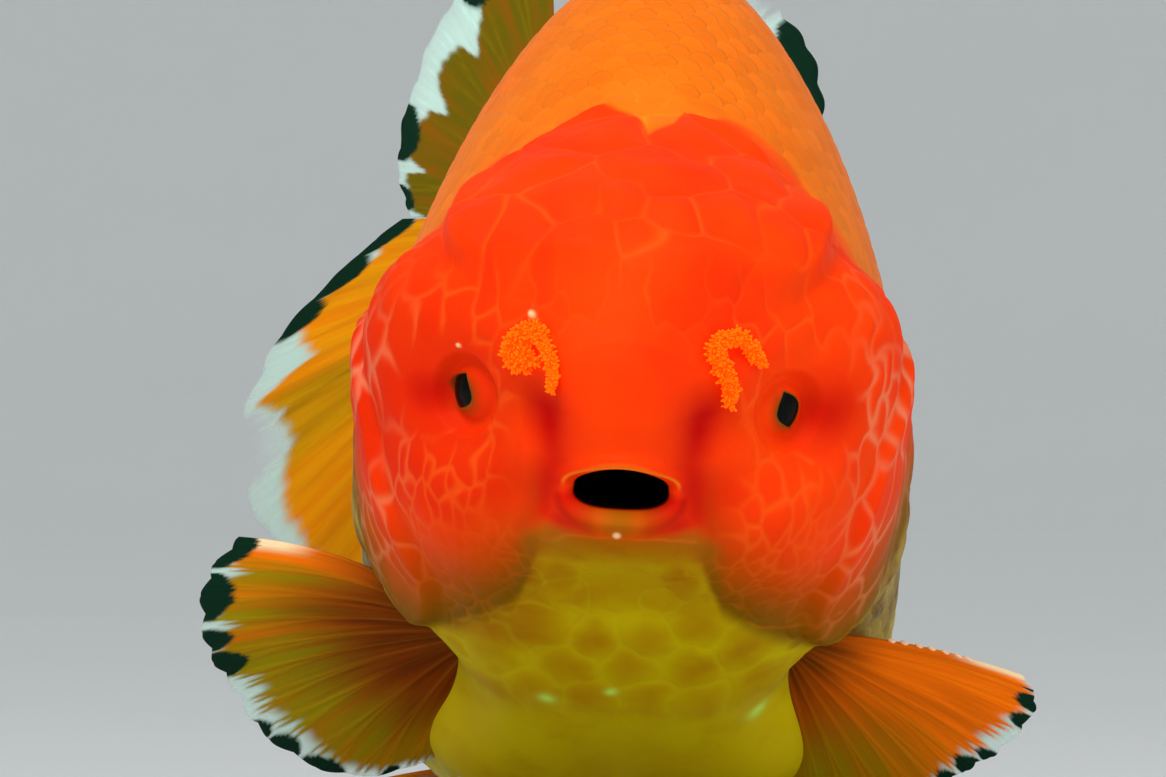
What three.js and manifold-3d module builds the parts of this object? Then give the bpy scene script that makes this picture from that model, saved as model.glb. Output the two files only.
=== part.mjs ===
// A ranchu goldfish, life size, as a still model held over a display base by two short rods.
// Units are millimetres. The part's frame is +Z up, with its origin at the middle of the base's
// underside. The fish faces -Y, nose down, with its tail swept towards -X.
//
// The fish is shaped in a frame of its own: X to its left side, Y back along the body from the
// lips, Z up from the level of the mouth. That frame is then turned and set over the base.
import * as THREE from "three";
import { mergeVertices } from "three/addons/utils/BufferGeometryUtils.js";
import Module from "manifold-3d";

const wasm = await Module();
wasm.setup();

// Driving dimensions

const GAP = 0.3; // clearance kept between pieces that touch
const NOSE_DOWN = 17; // degrees
const YAW = 1.8; // degrees, tail towards the fish's left
const ROLL = 2.5; // degrees, left side down
const MOUTH = { x: 0.5, y: -64, z: 68 }; // where the mouth's middle is set over the base

// The display stand: a wooden base and two rods, let into it, that reach up to the belly
const BASE = { length: 124, width: 86, height: 7, corner: 28, bevel: 1.2 };
const RODS = { front: -8, rear: 18, radius: 2, socket: 4.5, sides: 14 };

// The outline of the body, as stations from the throat, out over the lips and back to the tail.
// Each has a point on the back, the side and the belly: [y, z], [y, x, z] and [y, z].
const STATIONS = [
  { name: "throat", back: [13, 0], side: [13, 0, 0], belly: [13, 0] },
  { name: "mouth", back: [7.5, 2.7], side: [7.5, 4.6, 0], belly: [7, -2.9] },
  { name: "inner lip", back: [1.6, 2.6], side: [2.6, 5.2, -0.2], belly: [1.4, -2.6] },
  { name: "lip", back: [-0.9, 3.2], side: [1.5, 6.5, 0], belly: [-0.5, -3.7] },
  { name: "lip root", back: [-0.1, 4.6], side: [2.6, 8.1, 0.1], belly: [0.2, -5.7] },
  { name: "muzzle", back: [0.2, 8.6], side: [5.2, 12.0, 0.4], belly: [3.0, -8.9] },
  { name: "nostrils", back: [1.2, 14.4], side: [9.6, 17.8, 0.8], belly: [9.2, -13.6] },
  { name: "brow", back: [4.4, 20.6], side: [14.6, 23.4, 1.2], belly: [16, -20.2] },
  { name: "eyes", back: [10.6, 25.8], side: [20.6, 27.4, 1.0], belly: [23.5, -28.6] },
  { name: "cheeks", back: [19.4, 28.8], side: [28, 29.2, -0.6], belly: [31, -37.2] },
  { name: "gill covers", back: [30.4, 30.2], side: [37, 29.2, -4.6], belly: [39, -45.4] },
  { name: "shoulder", back: [44, 32.4], side: [47, 31.0, -11.0], belly: [49, -53.2] },
  { name: "chest", back: [59, 36.8], side: [60, 31.2, -15.0], belly: [61, -59.0] },
  { name: "mid body", back: [77, 39.4], side: [77, 28.4, -14.0], belly: [76, -55.4] },
  { name: "vent", back: [95, 35.6], side: [94, 21.6, -8.0], belly: [92, -42.4] },
  { name: "rump", back: [111, 26.0], side: [109, 14.6, -3.6], belly: [106, -28.0] },
  { name: "stalk", back: [124, 14.6], side: [121, 10.0, -3.4], belly: [117, -19.0] },
  { name: "tail root", back: [133.5, 5.6], side: [130.5, 6.8, -5.6], belly: [126.5, -16.4] },
  { name: "stalk end", back: [138, 0.4], side: [135, 5.2, -7.0], belly: [131, -15.6] },
  { name: "stalk tip", back: [140, -4.4], side: [138.6, 2.4, -8.4], belly: [136, -12.6] },
];
const STATION = Object.fromEntries(STATIONS.map((s, i) => [s.name, i]));

// How much squarer than an ellipse the section is, over the back and under the belly
const FULLNESS = { lips: [0.02, 0.16], head: [0.02, 0.03], body: [-0.03, 0.15] };

// The hind body bends towards the fish's right between these two distances from the lips.
const BEND = { from: 80, to: 136, radius: 112 };

// The mesh of the skin: the lips take fewer of the head's rings than their stations would.
const HEAD_SKIN = { segments: 64, rings: 42, spread: 0.75 };
const BODY_SKIN = { segments: 36, rings: 24, spread: 1 };

// Swellings and hollows, mirrored where they are off the middle, each with its place, its reach
// and how far it stands out of the plain skin, less than nothing for a hollow.
const SWELLINGS = [
  { name: "snout", at: [0, 0.4, 9.5], reach: 5.6, height: 1.5 },
  { name: "cheek", at: [19.5, 10, -7], reach: 7.5, height: 3.4 },
  { name: "mouth corner fold", at: [10.6, 5.5, -3.5], reach: 3.0, height: -2.4 },
  { name: "snout fold", at: [9.6, 4, 7.0], reach: 2.6, height: -1.6 },
  { name: "eye rim", at: [19.5, 11.4, 6.8], reach: 5.2, height: 1.4 },
  { name: "eye hollow", at: [18.4, 10.6, 6.8], reach: 3.0, height: -3.8 },
  { name: "temple", at: [26, 22, 13.5], reach: 7.5, height: 3.6 },
  { name: "throat", at: [0, 14, -16], reach: 6.5, height: -2 },
  { name: "fin hollow", at: [25, 40, -35], reach: 7, height: -7 },
];

// The crown of the wen and the gill covers are raised inside these ellipsoids. The crown's front
// has a wider edge, its foot, that runs down into the snout.
const CROWN = { at: [0, 21, 25], half: [21.5, 20.5, 20], height: 3.0, edge: 0.14, foot: 0.5 };
const GILL_COVER = { at: [27, 32, -9], half: [16, 14.5, 20], height: 1.5, edge: 0.12 };

// Lobes of the crown: where each is, x, y and z, and its size. The rest of the wen is made of
// small lobes, strewn at random over the temples, cheeks and gill covers.
const CROWN_LOBES = [
  [-7.1, 4.2, 24.4, 6.2],
  [7.2, 3.8, 23.7, 7.2],
  [1.1, 6.5, 27.2, 4.2],
  [3, 19.2, 32.3, 5.6],
  [-4.4, 29.4, 33.3, 5.4],
  [5.4, 30, 33.3, 5.4],
  [-7.5, 14.2, 30.3, 5],
  [-1.4, 12.4, 30.2, 4.2],
  [4.6, 11.5, 29.4, 4.2],
  [11.2, 12.6, 28.5, 5],
  [17.4, 14.2, 25.6, 4.4],
  [13.5, 26.7, 30.2, 5.6],
  [-13.7, 11, 26.2, 5],
  [-18.4, 15.5, 24, 4.4],
  [-12.1, 24, 30.7, 5.6],
];
const SMALL_LOBE = { size: 5.8, tries: 2400, seed: 7 };
const LOBE_RELIEF = { crown: 2.1, wen: 0.95, dome: 0.75, groove: 0.35, width: 1.1 };
const BARE_SNOUT = { at: [0, 0, 1], half: [15, 12, 17] };
const BARE_EYE = { at: [20, 11.8, 6.8], half: [6, 6, 6] };

const EYE = { x: 14.6, y: 13.0, z: 7.0, radius: 4.7, segments: 14, rings: 9 };
const NOSTRIL = { x: 8.5, y: 2.2, z: 10.4, radius: 1.2, segments: 8, rings: 6 };

// The frilled flaps over the nostrils, as beads [across, out, up, radius] from their root on the
// snout. The right one is a tuft and the left one a hook.
const BOUQUETS = [
  {
    name: "narial_bouquet_right",
    root: [-10.2, 4.6, 13.4],
    beads: [
      [0, 0.6, 0, 2.2],
      [-1.4, 2.2, 2.2, 1.9],
      [1.2, 2.5, 1.8, 1.8],
      [-1.8, 2.8, -0.2, 1.8],
      [1.5, 2.6, -1.6, 1.7],
      [2.2, 1.9, -4.2, 1.2],
    ],
  },
  {
    name: "narial_bouquet_left",
    root: [11.6, 5, 12.6],
    beads: [
      [-0.8, 0.6, 0, 2.2],
      [-1.8, 2.4, 1.8, 1.7],
      [0.2, 2.6, 2.6, 1.6],
      [2.0, 2.3, 1.2, 1.6],
      [-2.0, 2.7, -0.6, 1.6],
      [-1.3, 2.6, -2.6, 1.4],
    ],
  },
];

// Fins. Each is a fan of rays between the two ends of its root line, which lies inside the body.
// A row of its fan is one ray: its angle from the fish's left as seen from the front, how far it
// leans back, both in degrees, and its length. The other rays lie evenly between the rows.
// The bow lifts the first rays in the fin's plane, and the curl lifts the tips out of it.
const RAY = { crest: [1.3, 0.6], valley: [0.7, 0.5], notch: 0.06 };
const FINS = [
  {
    name: "pectoral_fin_right",
    root: [[-18.6, 38.4, -28.6], [-16.6, 41, -33]],
    fan: [
      [168, 15, 28.5],
      [180, 13, 32],
      [193, 13, 32.5],
      [203, 15, 31.5],
      [215, 16, 31],
      [235, 19, 27.5],
      [254, 22, 20],
      [270, 26, 15.5],
    ],
    rays: 13,
    rows: 7,
    bow: 2.2,
    curl: -1.5,
  },
  {
    name: "pectoral_fin_left",
    root: [[20, 39, -28.2], [18.2, 41.4, -32.6]],
    fan: [
      [-12, 14, 27.4],
      [-17, 12, 29.8],
      [-28, 12, 28.6],
      [-38, 13, 26.5],
      [-50, 15, 26],
      [-64, 18, 26],
      [-79, 22, 25.5],
      [-93, 26, 23],
    ],
    rays: 13,
    rows: 7,
    bow: 1,
    curl: 1.5,
  },
  {
    name: "pelvic_fin_right",
    root: [[-9.5, 51, -50.5], [-7, 57, -52.5]],
    fan: [[196, 24, 23], [203, 34, 26], [214, 46, 26], [228, 57, 23], [245, 64, 19]],
    rays: 7,
    rows: 5,
    bow: 0.8,
    curl: 1,
  },
  {
    name: "pelvic_fin_left",
    root: [[9.5, 51, -50.5], [7, 57, -52.5]],
    fan: [[-16, 24, 23], [-23, 34, 26], [-34, 46, 26], [-48, 57, 23], [-65, 64, 19]],
    rays: 7,
    rows: 5,
    bow: 0.8,
    curl: -1,
  },
  {
    name: "anal_fin_right",
    root: [[-3.4, 103, -24], [-2.8, 109, -22]],
    fan: [[258, 34, 13], [260, 46, 14], [262, 57, 13], [264, 66, 11]],
    rays: 5,
    rows: 5,
    bow: 0.4,
    curl: 0.6,
  },
  {
    name: "anal_fin_left",
    root: [[3.4, 103, -24], [2.8, 109, -22]],
    fan: [[-78, 34, 13], [-80, 46, 14], [-82, 57, 13], [-84, 66, 11]],
    rays: 5,
    rows: 5,
    bow: 0.4,
    curl: -0.6,
  },
  {
    name: "caudal_upper_right",
    root: [[-1.6, 131, 1], [-2.6, 129, -6]],
    fan: [
      [100, 64, 44],
      [117, 61, 42],
      [136, 56, 35],
      [158, 47, 28],
      [177, 34, 23],
      [188, 24, 19],
    ],
    rays: 7,
    rows: 7,
    bow: 0,
    curl: 2,
    shared: "last",
  },
  {
    name: "caudal_lower_right",
    root: [[-2.6, 129, -6], [-1.6, 126, -13.5]],
    fan: [
      [188, 24, 20],
      [197, 16, 28],
      [205, 10, 38],
      [213, 6, 46],
      [223, 4, 51],
      [234, 4, 52],
      [244, 7, 46],
      [254, 12, 40],
    ],
    rays: 8,
    rows: 7,
    bow: 0,
    curl: 2,
    shared: "first",
  },
  {
    name: "caudal_upper_left",
    root: [[1.6, 131, 1], [2.6, 129, -6]],
    fan: [
      [75, 64, 44],
      [55, 56, 42],
      [36, 46, 38],
      [19, 36, 35],
      [4, 28, 28],
      [-8, 22, 21],
    ],
    rays: 7,
    rows: 7,
    bow: 0,
    curl: 2,
    shared: "last",
  },
  {
    name: "caudal_lower_left",
    root: [[2.6, 129, -6], [1.6, 126, -13.5]],
    fan: [
      [-8, 22, 21],
      [-18, 14, 30],
      [-26, 9, 40],
      [-34, 6, 47],
      [-43, 5, 51],
      [-53, 7, 50],
      [-64, 12, 45],
      [-75, 18, 39],
    ],
    rays: 8,
    rows: 7,
    bow: 0,
    curl: 2,
    shared: "first",
  },
];

// Where the head ends and where the tail stalk begins, as lines on the fish's side, [y, z]
const NECK_LINE = [[43, 70], [43.5, 30], [47.5, 12], [47.5, -10], [42, -24], [36, -35], [30, -70]];
const STALK_LINE = [[113, 60], [113, -60]];

function ease(from, to, value) {
  const t = THREE.MathUtils.clamp((value - from) / (to - from), 0, 1);
  return t * t * (3 - 2 * t);
}

const mix = THREE.MathUtils.lerp;
const radians = THREE.MathUtils.degToRad;

// Repeatable random numbers from 0 to 1
function randomFrom(seed) {
  let state = seed;
  return () => {
    state = (state + 0x6d2b79f5) | 0;
    let t = Math.imul(state ^ (state >>> 15), 1 | state);
    t = (t + Math.imul(t ^ (t >>> 7), 61 | t)) ^ t;
    return ((t ^ (t >>> 14)) >>> 0) / 4294967296;
  };
}

// The body's plain skin

const backCurve = new THREE.SplineCurve(STATIONS.map((s) => new THREE.Vector2(...s.back)));
const bellyCurve = new THREE.SplineCurve(STATIONS.map((s) => new THREE.Vector2(...s.belly)));
const sideCurve = new THREE.SplineCurve(
  STATIONS.map((s) => new THREE.Vector2(s.side[0], s.side[1])),
);
const levelCurve = new THREE.SplineCurve(STATIONS.map((s, i) => new THREE.Vector2(i, s.side[2])));

// A point at a station number and an angle: 0 on the fish's left, a quarter turn on its back
function plainSkin(station, angle) {
  const along = THREE.MathUtils.clamp(station / (STATIONS.length - 1), 0, 1);
  const side = sideCurve.getPoint(along);
  const level = levelCurve.getPoint(along).y;
  const up = Math.sin(angle);
  const edge = (up > 0 ? backCurve : bellyCurve).getPoint(along);
  const half = up > 0 ? 0 : 1;
  const onBody = ease(STATION.eyes, STATION.shoulder, station);
  const offLips = ease(STATION.lip, STATION.muzzle, station);
  const onHead = mix(FULLNESS.lips[half], FULLNESS.head[half], offLips);
  const square = mix(onHead, FULLNESS.body[half], onBody);
  const fullness = 1 + square * Math.sin(2 * angle) ** 2;
  return new THREE.Vector3(
    side.y * Math.cos(angle) * fullness,
    mix(side.x, edge.x, up * up),
    level + Math.abs(up) * (edge.y - level) * fullness,
  );
}

// The direction straight out of the plain skin
function outwards(station, angle) {
  const step = 0.02;
  const last = STATIONS.length - 1;
  const alongSkin = plainSkin(Math.min(station + step, last), angle).sub(
    plainSkin(Math.max(station - step, 0), angle),
  );
  const roundSkin = plainSkin(station, angle + step).sub(plainSkin(station, angle - step));
  return alongSkin.cross(roundSkin).normalize();
}

// How far out a point is from the middle of an ellipsoid, 1 on its surface. One set to the side
// stands for both sides of the fish.
function ellipsoidReach(point, { at, half }) {
  return Math.hypot(
    (Math.abs(point.x) - at[0]) / half[0],
    (point.y - at[1]) / half[1],
    (point.z - at[2]) / half[2],
  );
}

function insideShare(point, shape) {
  const edge = mix(shape.foot ?? shape.edge, shape.edge, ease(4, 16, point.y));
  return 1 - ease(1 - edge, 1, ellipsoidReach(point, shape));
}

// 1 where small lobes cover the skin, 0 on the snout, chin, throat and body
function wenShare(point) {
  const offSnout = ease(0.9, 1.2, ellipsoidReach(point, BARE_SNOUT));
  const offEye = ease(0.8, 1.3, ellipsoidReach(point, BARE_EYE));
  const jowl = -12 - 0.8 * Math.min(Math.abs(point.x), 22);
  const aboveJowl = ease(-4, 4, point.z - jowl);
  const before = 1 - ease(42, 48, point.y);
  return offSnout * offEye * aboveJowl * before;
}

// The lobes: the crown's own, and the small ones thrown wherever they find room
const lobes = CROWN_LOBES.map(([x, y, z, size]) => ({ at: new THREE.Vector3(x, y, z), size }));
const random = randomFrom(SMALL_LOBE.seed);
for (let i = 0; i < SMALL_LOBE.tries; i++) {
  const station = mix(STATION.muzzle, STATION.shoulder + 0.4, random());
  const angle = random() * 2 * Math.PI;
  const size = SMALL_LOBE.size * mix(0.85, 1.15, random());
  const at = plainSkin(station, angle);
  if (wenShare(at) < 0.3) continue;
  if (lobes.every((l) => l.at.distanceTo(at) > 0.82 * (l.size + size))) lobes.push({ at, size });
}

// How far the lobe at a point stands out: domed, with a groove where it meets the next
function lobeHeight(point) {
  let nearest = Infinity;
  let next = Infinity;
  for (const lobe of lobes) {
    const away = lobe.at.distanceTo(point) / lobe.size;
    if (away < nearest) {
      next = nearest;
      nearest = away;
    } else if (away < next) {
      next = away;
    }
  }
  const groove = 1 - ease(0, LOBE_RELIEF.width, next - nearest);
  return LOBE_RELIEF.dome * (1 - Math.min(nearest, 1) ** 2) - LOBE_RELIEF.groove * groove;
}

// How far all that grows on the head stands out of the plain skin at a point
function growth(point) {
  let height = 0;
  for (const swelling of SWELLINGS) {
    const [x, y, z] = swelling.at;
    const apart = Math.hypot(Math.abs(point.x) - x, point.y - y, point.z - z);
    height += swelling.height * Math.exp(-(apart ** 2) / (2 * swelling.reach ** 2));
  }
  const crown = insideShare(point, CROWN);
  height += crown * CROWN.height + insideShare(point, GILL_COVER) * GILL_COVER.height;
  const wen = Math.max(crown, wenShare(point));
  if (wen > 0) height += wen * mix(LOBE_RELIEF.wen, LOBE_RELIEF.crown, crown) * lobeHeight(point);
  return height;
}

// The skin with all that grows on it, `out` mm outside itself
function skin(station, angle, out = 0) {
  const point = plainSkin(station, angle);
  return point.addScaledVector(outwards(station, angle), growth(point) + out);
}

// The bend of the hind body. Past the bend it runs on straight.
function bend(point) {
  if (point.y <= BEND.from) return point;
  const curved = Math.min(point.y, BEND.to) - BEND.from;
  const straight = point.y - BEND.from - curved;
  const turn = curved / BEND.radius;
  const arm = BEND.radius + point.x;
  return point.set(
    arm * Math.cos(turn) - BEND.radius - straight * Math.sin(turn),
    BEND.from + arm * Math.sin(turn) + straight * Math.cos(turn),
    point.z,
  );
}

// A closed skin between two stations, made by reshaping a sphere. Its ends shrink to points that
// lie inside the body.
function skinGeometry(from, to, { segments, rings, spread }, out = 0) {
  const sphere = new THREE.SphereGeometry(1, segments, rings);
  sphere.deleteAttribute("normal");
  sphere.deleteAttribute("uv");
  const geometry = mergeVertices(sphere, 1e-5);
  const position = geometry.attributes.position;
  const unit = new THREE.Vector3();
  for (let i = 0; i < position.count; i++) {
    unit.fromBufferAttribute(position, i);
    const ring = Math.round((Math.acos(THREE.MathUtils.clamp(-unit.y, -1, 1)) / Math.PI) * rings);
    const inner = THREE.MathUtils.clamp((ring - 1) / (rings - 2), 0, 1);
    const station = mix(from, to, inner ** spread);
    const end = ring === 0 || ring === rings;
    const place = end ? sectionMiddle(station) : skin(station, Math.atan2(unit.z, unit.x), out);
    position.setXYZ(i, place.x, place.y, place.z);
  }
  return geometry;
}

function sectionMiddle(station) {
  const back = plainSkin(station, Math.PI / 2);
  const belly = plainSkin(station, -Math.PI / 2);
  return back.add(belly).multiplyScalar(0.5);
}

// Solids and meshes

function toSolid(geometry) {
  const bare = geometry.clone();
  bare.deleteAttribute("normal");
  bare.deleteAttribute("uv");
  const merged = mergeVertices(bare, 1e-4);
  return new wasm.Manifold(
    new wasm.Mesh({
      numProp: 3,
      vertProperties: new Float32Array(merged.attributes.position.array),
      triVerts: new Uint32Array(merged.index.array),
    }),
  );
}

// The largest closed body of a solid, as a geometry
function toGeometry(solid) {
  const bodies = solid.decompose();
  const largest = bodies.reduce((a, b) => (b.volume() > a.volume() ? b : a));
  const mesh = largest.getMesh();
  const geometry = new THREE.BufferGeometry();
  geometry.setAttribute("position", new THREE.BufferAttribute(mesh.vertProperties, 3));
  geometry.setIndex(new THREE.BufferAttribute(mesh.triVerts, 1));
  return geometry;
}

// A geometry with each vertex carried round the bend of the hind body
function bentGeometry(geometry) {
  const position = geometry.attributes.position;
  const point = new THREE.Vector3();
  for (let i = 0; i < position.count; i++) {
    bend(point.fromBufferAttribute(position, i));
    position.setXYZ(i, point.x, point.y, point.z);
  }
  return geometry;
}

function ellipsoid({ at, half }, mirror = 1, grow = 0) {
  const geometry = new THREE.SphereGeometry(1, 20, 10);
  geometry.scale(half[0] + grow, half[1] + grow, half[2] + grow);
  geometry.translate(mirror * at[0], at[1], at[2]);
  return toSolid(geometry);
}

function ball({ x, y, z, radius, segments, rings }, mirror = 1, grow = 0) {
  const geometry = new THREE.SphereGeometry(radius + grow, segments, rings);
  geometry.translate(mirror * x, y, z);
  return toSolid(geometry);
}

// All that lies behind a line drawn on the fish's side, moved back by `back`
function behind(line, back = 0) {
  const far = 200;
  const shape = new THREE.Shape();
  shape.moveTo(far, line[0][1]);
  for (const [y, z] of line) shape.lineTo(y + back, z);
  shape.lineTo(far, line.at(-1)[1]);
  const geometry = new THREE.ExtrudeGeometry(shape, { depth: 160, bevelEnabled: false });
  geometry.translate(0, 0, -80);
  // The shape's own X, Y and Z become the fish's Y, Z and X.
  geometry.applyMatrix4(new THREE.Matrix4().set(0, 0, 1, 0, 1, 0, 0, 0, 0, 1, 0, 0, 0, 0, 0, 1));
  return toSolid(geometry);
}

const model = new THREE.Group();
const fish = new THREE.Group();
fish.rotation.set(radians(NOSE_DOWN), radians(ROLL), -radians(YAW), "YXZ");
fish.position.set(MOUTH.x, MOUTH.y, MOUTH.z);
model.add(fish);

function addNode(group, name, solid, material, reshape = (geometry) => geometry) {
  const mesh = new THREE.Mesh(reshape(toGeometry(solid)), material);
  mesh.name = name;
  group.add(mesh);
}

const wenRed = new THREE.MeshStandardMaterial({ color: 0xf53c0a, roughness: 0.5 });
const skinOrange = new THREE.MeshStandardMaterial({ color: 0xf7701a, roughness: 0.42 });
const bouquetOrange = new THREE.MeshStandardMaterial({ color: 0xff7a2e, roughness: 0.6 });
const eyeBlack = new THREE.MeshStandardMaterial({ color: 0x1a140c, roughness: 0.08 });
const finOrange = new THREE.MeshStandardMaterial({ color: 0xe08a18, roughness: 0.45 });
const walnut = new THREE.MeshStandardMaterial({ color: 0x4a2f1c, roughness: 0.5 });
const steel = new THREE.MeshStandardMaterial({ color: 0xb8bcc0, roughness: 0.3, metalness: 1 });

// The skins, and the same skins grown by the gap, which other pieces are cut clear with

const headSkin = toSolid(skinGeometry(0, STATION.chest, HEAD_SKIN));
const headKeepOff = toSolid(skinGeometry(0, STATION.chest, HEAD_SKIN, GAP));
const tailEnd = STATIONS.length - 1;
const bodySkin = toSolid(skinGeometry(STATION.eyes, tailEnd, BODY_SKIN));
const bodyKeepOffGeometry = bentGeometry(skinGeometry(STATION.eyes, tailEnd, BODY_SKIN, GAP));
const bodyKeepOff = toSolid(bodyKeepOffGeometry);

// Head, crown of the wen, gill covers, eyes and the pits of the nostrils

const front = headSkin.subtract(behind(NECK_LINE));
const crownKeepOff = ellipsoid(CROWN, 1, GAP);
let head = front.subtract(crownKeepOff);
let crown = front.intersect(ellipsoid(CROWN));
for (const [side, mirror] of [["left", 1], ["right", -1]]) {
  const cover = front.intersect(ellipsoid(GILL_COVER, mirror)).subtract(crownKeepOff);
  addNode(fish, `gill_cover_${side}`, cover, wenRed);
  head = head.subtract(ellipsoid(GILL_COVER, mirror, GAP));
  addNode(fish, `eye_${side}`, ball(EYE, mirror), eyeBlack);
  head = head.subtract(ball(EYE, mirror, GAP)).subtract(ball(NOSTRIL, mirror));
  crown = crown.subtract(ball(EYE, mirror, GAP));
}
addNode(fish, "head", head, wenRed);
addNode(fish, "wen_crown", crown, wenRed);

// The flaps over the nostrils

for (const { name, root, beads } of BOUQUETS) {
  const flap = beads
    .map(([across, out, up, radius]) =>
      ball({ x: root[0] + across, y: root[1] - out, z: root[2] + up, radius, segments: 6, rings: 5 }),
    )
    .reduce((a, b) => a.add(b));
  addNode(fish, name, flap.subtract(headKeepOff), bouquetOrange);
}

// Trunk and tail stalk

const rear = bodySkin.intersect(behind(NECK_LINE, GAP + 0.1));
addNode(fish, "trunk", rear.subtract(behind(STALK_LINE)), skinOrange, bentGeometry);
addNode(fish, "tail_stalk", rear.intersect(behind(STALK_LINE, GAP)), skinOrange, bentGeometry);

// Fins

// A fin's middle surface: `across` runs from the first ray to the last, `along` from root to tip
function finSurface(fin, across, along) {
  const [angle, lean, length] = fin.fanCurve.getPoint(across).toArray();
  const flat = Math.cos(radians(lean));
  const turning = new THREE.Vector3(-Math.sin(radians(angle)), 0, Math.cos(radians(angle)));
  const direction = new THREE.Vector3(
    Math.cos(radians(angle)) * flat,
    Math.sin(radians(lean)),
    Math.sin(radians(angle)) * flat,
  );
  const face = direction.clone().cross(turning).normalize();
  const firstRays = 4 * along * (1 - along) * (1 - across);
  return fin.rootLine
    .at(across, new THREE.Vector3())
    .addScaledVector(direction, length * along)
    .addScaledVector(turning, -fin.sweep * fin.bow * firstRays)
    .addScaledVector(face, fin.curl * along * along);
}

// One vertex of a fin, on one face of it
function finVertex(fin, column, row, face) {
  const columns = 2 * fin.rays - 1;
  const across = column / (columns - 1);
  const isRay = column % 2 === 0;
  const along = (row / fin.rows) * (isRay ? 1 : 1 - RAY.notch);
  const step = 0.01;
  const point = finSurface(fin, across, along);
  const alongRay = finSurface(fin, across, along + step).sub(point);
  const overRays = finSurface(fin, Math.min(across + step, 1), along).sub(
    finSurface(fin, Math.max(across - step, 0), along),
  );
  const normal = alongRay.cross(overRays).normalize();
  const [atRoot, atTip] = isRay ? RAY.crest : RAY.valley;
  point.addScaledVector(normal, (face * mix(atRoot, atTip, along)) / 2);
  // A fin that carries on in another keeps half the gap from the ray that they share.
  const back = GAP / 2 + 0.05;
  overRays.normalize();
  if (fin.shared === "first" && column === 0) point.addScaledVector(overRays, back);
  if (fin.shared === "last" && column === columns - 1) point.addScaledVector(overRays, -back);
  return point;
}

// A fin as one closed sheet: each ray is a crest in both faces, with a valley between rays
function finGeometry(fin) {
  const columns = 2 * fin.rays - 1;
  const deep = fin.rows + 1;
  const vertices = [];
  for (const face of [1, -1]) {
    for (let column = 0; column < columns; column++) {
      for (let row = 0; row < deep; row++) {
        vertices.push(...finVertex(fin, column, row, face).toArray());
      }
    }
  }
  const under = columns * deep;
  const faces = [];
  const quad = (a, b, c, d) => faces.push(a, b, c, a, c, d);
  for (let column = 0; column < columns - 1; column++) {
    for (let row = 0; row < fin.rows; row++) {
      const a = column * deep + row;
      const [b, c, d] = [a + 1, a + deep + 1, a + deep];
      quad(a, b, c, d);
      // The other face is split on the same diagonal.
      faces.push(under + a, under + c, under + b, under + a, under + d, under + c);
    }
    const root = column * deep;
    const tip = root + fin.rows;
    quad(root, root + deep, under + root + deep, under + root);
    quad(tip, under + tip, under + tip + deep, tip + deep);
  }
  for (let row = 0; row < fin.rows; row++) {
    const last = (columns - 1) * deep + row;
    quad(row, under + row, under + row + 1, row + 1);
    quad(last, last + 1, under + last + 1, under + last);
  }
  const geometry = new THREE.BufferGeometry();
  geometry.setAttribute("position", new THREE.Float32BufferAttribute(vertices, 3));
  geometry.setIndex(faces);
  return geometry;
}

for (const fin of FINS) {
  const [first, last] = fin.root.map((end) => bend(new THREE.Vector3(...end)));
  fin.rootLine = new THREE.Line3(first, last);
  const rays = fin.fan.map((row) => new THREE.Vector3(...row));
  fin.fanCurve = new THREE.CatmullRomCurve3(rays, false, "catmullrom", 0.5);
  fin.sweep = Math.sign(fin.fan.at(-1)[0] - fin.fan[0][0]);
  let sheet = toSolid(finGeometry(fin));
  if (sheet.volume() < 0) throw new Error(`${fin.name} is inside out`);
  sheet = sheet.subtract(bodyKeepOff).subtract(headKeepOff);
  addNode(fish, fin.name, sheet, finOrange);
}

// The display stand

function baseSlab() {
  const [halfX, halfY] = [BASE.width / 2 - BASE.bevel, BASE.length / 2 - BASE.bevel];
  const corner = BASE.corner - BASE.bevel;
  const outline = new THREE.Shape();
  outline.absarc(halfX - corner, halfY - corner, corner, 0, Math.PI / 2);
  outline.absarc(corner - halfX, halfY - corner, corner, Math.PI / 2, Math.PI);
  outline.absarc(corner - halfX, corner - halfY, corner, Math.PI, 1.5 * Math.PI);
  outline.absarc(halfX - corner, corner - halfY, corner, 1.5 * Math.PI, 2 * Math.PI);
  const slab = new THREE.ExtrudeGeometry(outline, {
    depth: BASE.height - 2 * BASE.bevel,
    bevelThickness: BASE.bevel,
    bevelSize: BASE.bevel,
    bevelSegments: 1,
    curveSegments: 6,
  });
  return toSolid(slab.translate(0, 0, BASE.bevel));
}

function upright(y, radius, from, to) {
  const geometry = new THREE.CylinderGeometry(radius, radius, to - from, RODS.sides);
  geometry.rotateX(Math.PI / 2);
  return toSolid(geometry.translate(0, y, (from + to) / 2));
}

fish.updateMatrixWorld();
const bellyKeepOff = toSolid(bodyKeepOffGeometry.clone().applyMatrix4(fish.matrixWorld));
const socketFloor = BASE.height - RODS.socket;
let base = baseSlab();
for (const end of ["front", "rear"]) {
  const y = RODS[end];
  base = base.subtract(upright(y, RODS.radius + GAP, socketFloor, BASE.height + 1));
  const rod = upright(y, RODS.radius, socketFloor + GAP, MOUTH.z).subtract(bellyKeepOff);
  addNode(model, `stand_rod_${end}`, rod, steel);
}
addNode(model, "stand_base", base, walnut);

export default model;
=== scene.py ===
"""The looks of a life-size ranchu goldfish on its display stand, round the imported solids."""

import bpy
import numpy as np
from mathutils import Matrix, Vector


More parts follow.
